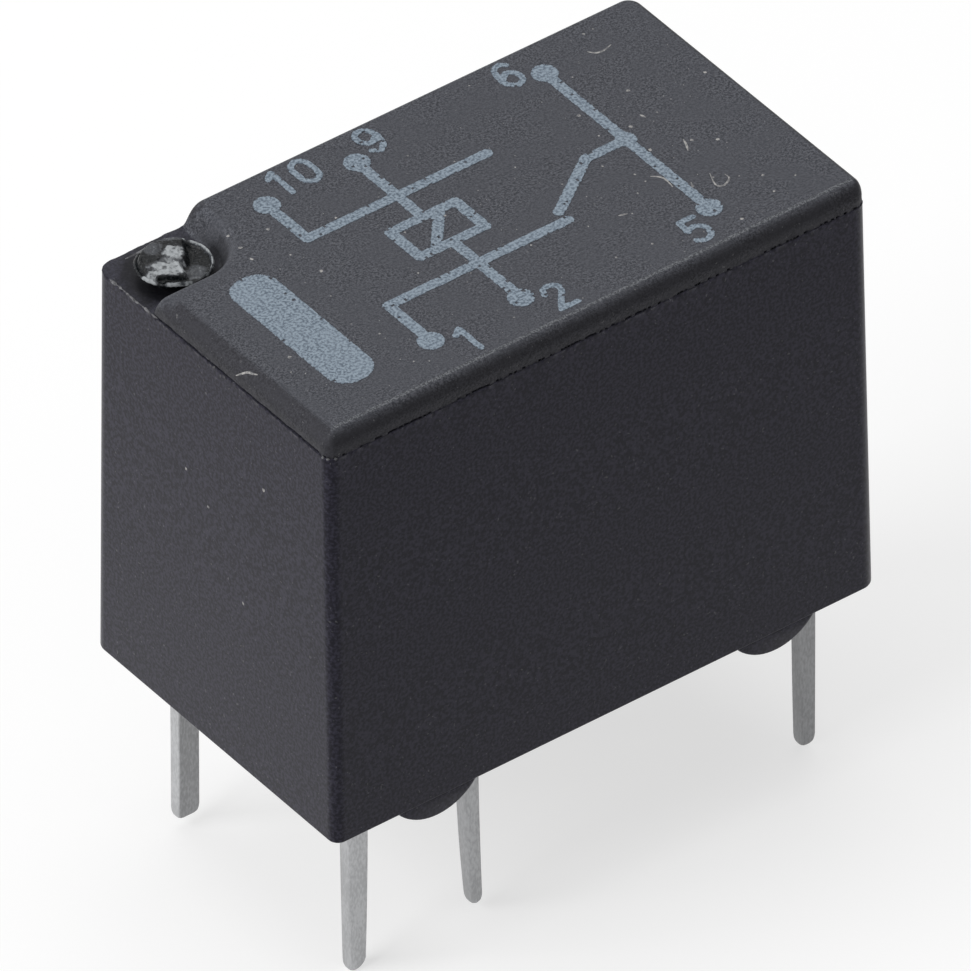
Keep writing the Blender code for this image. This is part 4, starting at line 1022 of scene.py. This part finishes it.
def add_flake(bm, spot, axes, size, draw):
    """Low irregular flake on a surface given by two axes and its normal."""
    u, v, normal = axes
    count = draw.randint(5, 7)
    rim = []
    for i in range(count):
        angle = 2 * pi * (i + draw.random() * 0.5) / count
        reach = size * draw.uniform(0.6, 1.2)
        rim.append(bm.verts.new(spot + u * (reach * cos(angle)) + v * (reach * sin(angle))))
    peak = bm.verts.new(spot + normal * min(size * 0.5, FIBRE_HEIGHT))
    for i in range(count):
        bm.faces.new((rim[i], rim[(i + 1) % count], peak))
    bm.faces.new(list(reversed(rim)))


def make_flakes(look):
    """Dust flakes and specks on the top face, and specks on the notched end."""
    draw = random.Random(11)
    bm = bmesh.new()
    for _ in range(FLAKES):
        spot = Vector((draw.uniform(cover_x0 + FLAKE_MARGIN, cover_x1 - FLAKE_MARGIN),
                       draw.uniform(FLAKE_MARGIN - cover_half_y, cover_half_y - FLAKE_MARGIN), top_z))
        in_notch = spot.x < notch_x1 + NOTCH_RUN + 0.1 and spot.y > notch_y0 - 0.1
        size = FLAKE_LOW + (FLAKE_HIGH - FLAKE_LOW) * draw.random() ** 3
        if not in_notch and abs(spot.y) < block_half_y - FLAKE_MARGIN_SIDE:
            add_flake(bm, spot, (X_AXIS, Y_AXIS, Z_AXIS), size, draw)
    for x, y in SPECKS:
        add_flake(bm, Vector((x, y, top_z)), (X_AXIS, Y_AXIS, Z_AXIS), SPECK_SIZE, draw)
    for y, z in END_SPECKS:
        spot = Vector((cover_x0 + DRAFT_END * z / LEDGE_HEIGHT, y, z))
        add_flake(bm, spot, (Y_AXIS, Z_AXIS, -X_AXIS), SPECK_SIZE, draw)
    add_piece("dust_flakes", bm, look, HOUSING, radians(10))


# Sealing resin: creeps up the walls and down the pins
GRID = 2.54
STRIP_HALF_X = 0.23
STRIP_HALF_Y = 0.14
RESIN_MARGIN = 0.01
RESIN_MIDDLE = 0.08
RESIN_SAG = 0.06
RESIN_CREEP = 0.09
RESIN_REACH = 0.22
RESIN_RINGS = 40
RESIN_CELL = 0.09


def resin_level(x, y, inset):
    """Height of the resin's free face above the rim plane."""
    level = RESIN_SAG * (1 - exp(-inset / 0.3))
    for pin_x in (-2 * GRID, -GRID, 2 * GRID):
        for pin_y in (-GRID, GRID):
            away = hypot(max(abs(x - pin_x) - STRIP_HALF_X, 0.0),
                         max(abs(y - pin_y) - STRIP_HALF_Y, 0.0))
            level -= RESIN_CREEP * exp(-away / RESIN_REACH)
    return level + 0.012 * noise(Vector((x, y, 0.0)) * 0.9)


def resin_outline(inset):
    """Rounded rectangle with points all along its sides."""
    counts = (round((cover_x1 - cover_x0) / RESIN_CELL), round(2 * cover_half_y / RESIN_CELL))
    return rounded_rectangle(cover_x0 + WALL_END + inset, cover_x1 - WALL_END - inset,
                             cover_half_y - WALL_SIDE - inset,
                             [max(CAVITY_RADIUS - inset, LEAST_RADIUS)] * 4, 4, counts)


def make_resin(look):
    """Poured seal with a sunk middle and small cones round the pins."""
    low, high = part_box("seal")
    rings = [[(x, y, high.z / MM) for x, y in resin_outline(RESIN_MARGIN)]]
    widest = cover_half_y - WALL_SIDE - RESIN_MIDDLE
    for step in range(RESIN_RINGS):
        inset = RESIN_MARGIN + widest * (step / (RESIN_RINGS - 1)) ** 1.2
        rings.append([(x, y, max(resin_level(x, y, inset), low.z / MM - RESIN_CREEP))
                      for x, y in resin_outline(inset)])
    made = add_piece("seal_resin", loft(rings)[0], look, HOUSING, radians(60))
    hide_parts("seal")


# Coil and leaf
WINDING_INNER = 1.39
WINDING_SEGMENTS = 72
WIRE = 0.06
LEAF_FOOT = 1.6
LEAF_TOP = 0.45
LEAF_CUTS = 16


def solid_shape(name):
    """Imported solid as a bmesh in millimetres, with its facets joined."""
    bm = bmesh.new()
    bm.from_mesh(frame["nodes"][name].data)
    bmesh.ops.remove_doubles(bm, verts=bm.verts, dist=1e-7)
    bmesh.ops.scale(bm, vec=(1 / MM, 1 / MM, 1 / MM), verts=bm.verts)
    return bm


def cut_level(bm, z, clear_inner=False):
    """Cut a shape along a level plane, and clear what lies below it if asked."""
    bmesh.ops.bisect_plane(bm, geom=bm.verts[:] + bm.edges[:] + bm.faces[:], dist=1e-5,
                           plane_co=(0.0, 0.0, z), plane_no=(0.0, 0.0, 1.0), clear_inner=clear_inner)


def make_winding(look):
    """Coil wound in plain turns, with the outline of its solid."""
    low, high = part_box("coil_winding")
    low, high = low / MM, high / MM
    turns = round((high.z - low.z) / WIRE)
    pitch = (high.z - low.z) / turns
    wire = pitch / 2
    outer = (high.x - low.x) / 2 - wire
    profile = []
    for turn in range(turns):
        middle = low.z + pitch * (turn + 0.5)
        profile += [(outer + wire * cos(angle), middle + wire * sin(angle))
                    for angle in (-1.2, -0.4, 0.4, 1.2)]
    profile += [(WINDING_INNER, high.z), (WINDING_INNER, low.z)]
    centre = ((low.x + high.x) / 2, 0.0)
    rings = [[(x, y, z) for x, y in arc(centre, radius, 0.0, 2 * pi, WINDING_SEGMENTS)[:-1]]
             for radius, z in profile]
    bm, _rows = loft(rings, None, False, False, closed=True)
    made = add_piece("coil_turns", bm, look, HOUSING, radians(50))
    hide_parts("coil_winding")


def make_leaf(look):
    """Contact leaf, cut at even levels between its foot on the yoke and the armature."""
    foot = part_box("contact_spring")[0].z + LEAF_FOOT * MM
    pivot = Vector(frame["joints"][0]["pos_m"])
    top = pivot.z + LEAF_TOP * MM
    bm = solid_shape("contact_spring")
    for step in range(LEAF_CUTS + 1):
        cut_level(bm, (foot + (top - foot) * step / LEAF_CUTS) / MM)
    made = add_piece("contact_leaf", bm, look, None, radians(30))
    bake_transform(made)
    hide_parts("contact_spring")


# Pins: column, row, half width at the top and tip, shift, bend, shortening, slant, material
PIN_CUT = 0.15
PIN_OVERLAP = 0.05
PIN_ROUND = 0.04
PIN_TIP_ROUND = 0.05
PIN_TIP_REACH = 0.22
PIN_TIP_LEVELS = [(0.0, 0.075), (0.01, 0.05), (0.03, 0.026), (0.06, 0.009), (0.1, 0.001),
                  (0.15, 0.0), (0.22, 0.0)]
PIN_SWELL = 0.004
PIN_LEAST_FLAT = 0.005
PIN_SHAPES = {
    "pin_1_terminal": (-2, -1, 0.229, 0.166, 0.019, -0.03, 0.0, 0.09, "tin"),
    "pin_10_terminal": (-2, 1, 0.231, 0.231, 0.022, -0.03, 0.09, 0.01, "tin_strong_painted_light"),
    "pin_2_terminal": (-1, -1, 0.177, 0.114, 0.0, 0.131, 0.0, 0.01, "tin_coil"),
    "pin_9_terminal": (-1, 1, 0.18, 0.125, 0.0, 0.0, 0.0, 0.01, "tin_coil"),
    "pin_5_terminal": (2, -1, 0.187, 0.154, -0.022, 0.02, 0.04, 0.02, "tin_dull"),
    "pin_6_terminal": (2, 1, 0.19, 0.155, 0.0, 0.0, 0.02, 0.02, "tin_dull"),
}


def pin_ring(x0, x1, y, half_y, z, radius):
    """One level of a pin: a rectangle with round corners."""
    outline = rounded_rectangle(x0, x1, half_y, (radius,) * 4, 3, (1, 1))
    return [(a, y + b, z) for a, b in outline]


def make_pins(look):
    """Terminals whose pins have the taper, the tip and the small bend that each one shows."""
    for name, (column, row, half_top, half_tip, shift, bend, short, cut, kind) in PIN_SHAPES.items():
        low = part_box(name)[0].z / MM + short
        height = PIN_CUT + PIN_OVERLAP - low
        bm = solid_shape(name)
        cut_level(bm, PIN_CUT, clear_inner=True)
        bmesh.ops.holes_fill(bm, edges=[edge for edge in bm.edges if edge.is_boundary])
        rings = []
        for rise, inset in PIN_TIP_LEVELS + [(rise, 0.0) for rise in np.linspace(0.4, height, 12)]:
            share = (1 - rise / height) ** 2
            half = half_top + (half_tip - half_top) * share - inset + PIN_SWELL
            middle = column * GRID + shift + bend * share
            tip = 1 - ease(rise, 0.0, PIN_TIP_REACH)
            half_y = STRIP_HALF_Y - inset
            corner = min(PIN_ROUND + PIN_TIP_ROUND * tip, half_y - PIN_LEAST_FLAT)
            rings.append(pin_ring(middle - half, middle + half - cut * tip, row * GRID, half_y,
                                  low + rise, corner))
        loft(rings, bm)
        made = add_piece(name.replace("terminal", "strip"), bm, look[kind], HOUSING)
        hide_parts(name)


def dress_nodes(look):
    """Give every carried-over solid its material."""
    dressed = {
        "base": ["base"],
        "nylon": ["bobbin"],
        "copper": ["coil_lead_start", "coil_lead_end"],
        "iron": ["core", "yoke", "armature"],
        "silver": ["moving_contact", "nc_contact", "no_contact"],
    }
    for kind, names in dressed.items():
        for name in names:
            node = frame["nodes"][name]
            node.data.materials.clear()
            node.data.materials.append(look[kind])


# Stage
FLOOR_SIZE = 3.0
FLOOR_GLOW = 0.6
WORLD_LIGHT = 0.3
SHOW_RAYS = ("Is Camera Ray", "Is Glossy Ray", "Is Transmission Ray")
LAMPS = (
    ("lamp_left", (-1.0, 0.15, 0.65), 0.5, 0.35, 1.75),
    ("lamp_top", (0.05, 0.2, 1.0), 0.5, 0.4, 0.8),
    ("lamp_front", (0.6, -1.0, 0.5), 0.6, 0.3, 0.12),
)


def seen_mask(nodes):
    """1 for rays from the camera, from gloss and through glass."""
    camera, gloss, glass = (nodes.node("LightPath", output=ray) for ray in SHOW_RAYS)
    return nodes.math("MAXIMUM", nodes.math("MAXIMUM", camera, gloss), glass)


def make_floor():
    """Plain pale floor that shows white and keeps the relay's shadow."""
    look = Look("pale_floor", (0.45, 0.45, 0.45), 0.9, specular=0.0)
    glow = look.times(seen_mask(look), FLOOR_GLOW)
    look.fill(look.shader, {"Emission Color": (1.0, 1.0, 1.0), "Emission Strength": glow})
    bm = bmesh.new()
    bmesh.ops.create_grid(bm, x_segments=1, y_segments=1, size=FLOOR_SIZE / MM / 2)
    bmesh.ops.translate(bm, verts=bm.verts, vec=(0.0, 0.0, frame_low.z / MM))
    floor = add_piece("floor", bm, look.finish(), None)


def make_world():
    """White surroundings: full strength where they are seen, gentler as light."""
    world = bpy.data.worlds.new("studio")
    world.use_nodes = True
    scene.world = world
    nodes = Nodes(world.node_tree)
    strength = nodes.node("MapRange", {"Value": seen_mask(nodes), "To Min": WORLD_LIGHT,
                                       "To Max": 1.0}, "Result")
    nodes.fill(nodes.tree.nodes["Background"], {"Color": (1.0, 1.0, 1.0), "Strength": strength})


def make_lamp(name, direction, distance, size, power):
    """Square soft lamp that points at the relay."""
    light = bpy.data.lights.new(name, "AREA")
    light.shape = "SQUARE"
    light.size = size
    light.energy = power
    lamp = bpy.data.objects.new(name, light)
    towards = Vector(direction).normalized()
    lamp.location = towards * distance
    lamp.rotation_mode = "QUATERNION"
    lamp.rotation_quaternion = towards.to_track_quat("Z", "Y")
    lamp.visible_camera = False
    scene.collection.objects.link(lamp)


def make_camera():
    """Camera at the photo's viewing angle."""
    back = Vector((sin(AZIMUTH) * cos(ELEVATION), -cos(AZIMUTH) * cos(ELEVATION), sin(ELEVATION)))
    level = Vector((cos(AZIMUTH), sin(AZIMUTH), 0.0))
    rise = back.cross(level)
    side = level * cos(ROLL) - rise * sin(ROLL)
    top = level * sin(ROLL) + rise * cos(ROLL)
    data = bpy.data.cameras.new("camera")
    data.sensor_width = SENSOR
    data.lens = FOCAL_LENGTH
    data.clip_start = 0.01
    data.clip_end = 10.0
    camera = bpy.data.objects.new("camera", data)
    turn = Matrix((side, top, back)).transposed().to_4x4()
    place = back * DISTANCE - side * AIM_SIDE + top * AIM_UP
    camera.matrix_world = Matrix.Translation(place * MM) @ turn
    scene.collection.objects.link(camera)
    scene.camera = camera


def corners(box):
    """A box as plain lists of numbers."""
    return [list(corner) for corner in box]


def build_scene():
    """Make everything round the frame."""
    look = looks()
    make_camera()
    make_cover(look["cover"])
    make_nub(look["nub"])
    make_print(look["ink"])
    fibres = [[(x, y, top_z) for x, y in points] for points in TOP_FIBRES]
    make_fibres("dust_fibres", fibres + [EDGE_FIBRE], settled, look["dust"])
    threads = [[(x, y, LEDGE_HEIGHT) for x, y in points] for points in LEDGE_FIBRES]
    make_fibres("melted_threads", threads, lambda spot: (spot, Z_AXIS), look["flash"])
    make_flakes(look["dust"])
    make_flash(look["flash"])
    make_resin(look["resin"])
    make_winding(look["copper"])
    make_leaf(look["bronze"])
    make_pins(look)
    dress_nodes(look)
    make_floor()
    make_world()
    for lamp in LAMPS:
        make_lamp(*lamp)
    scene.view_settings.view_transform = "Standard"


build_scene()
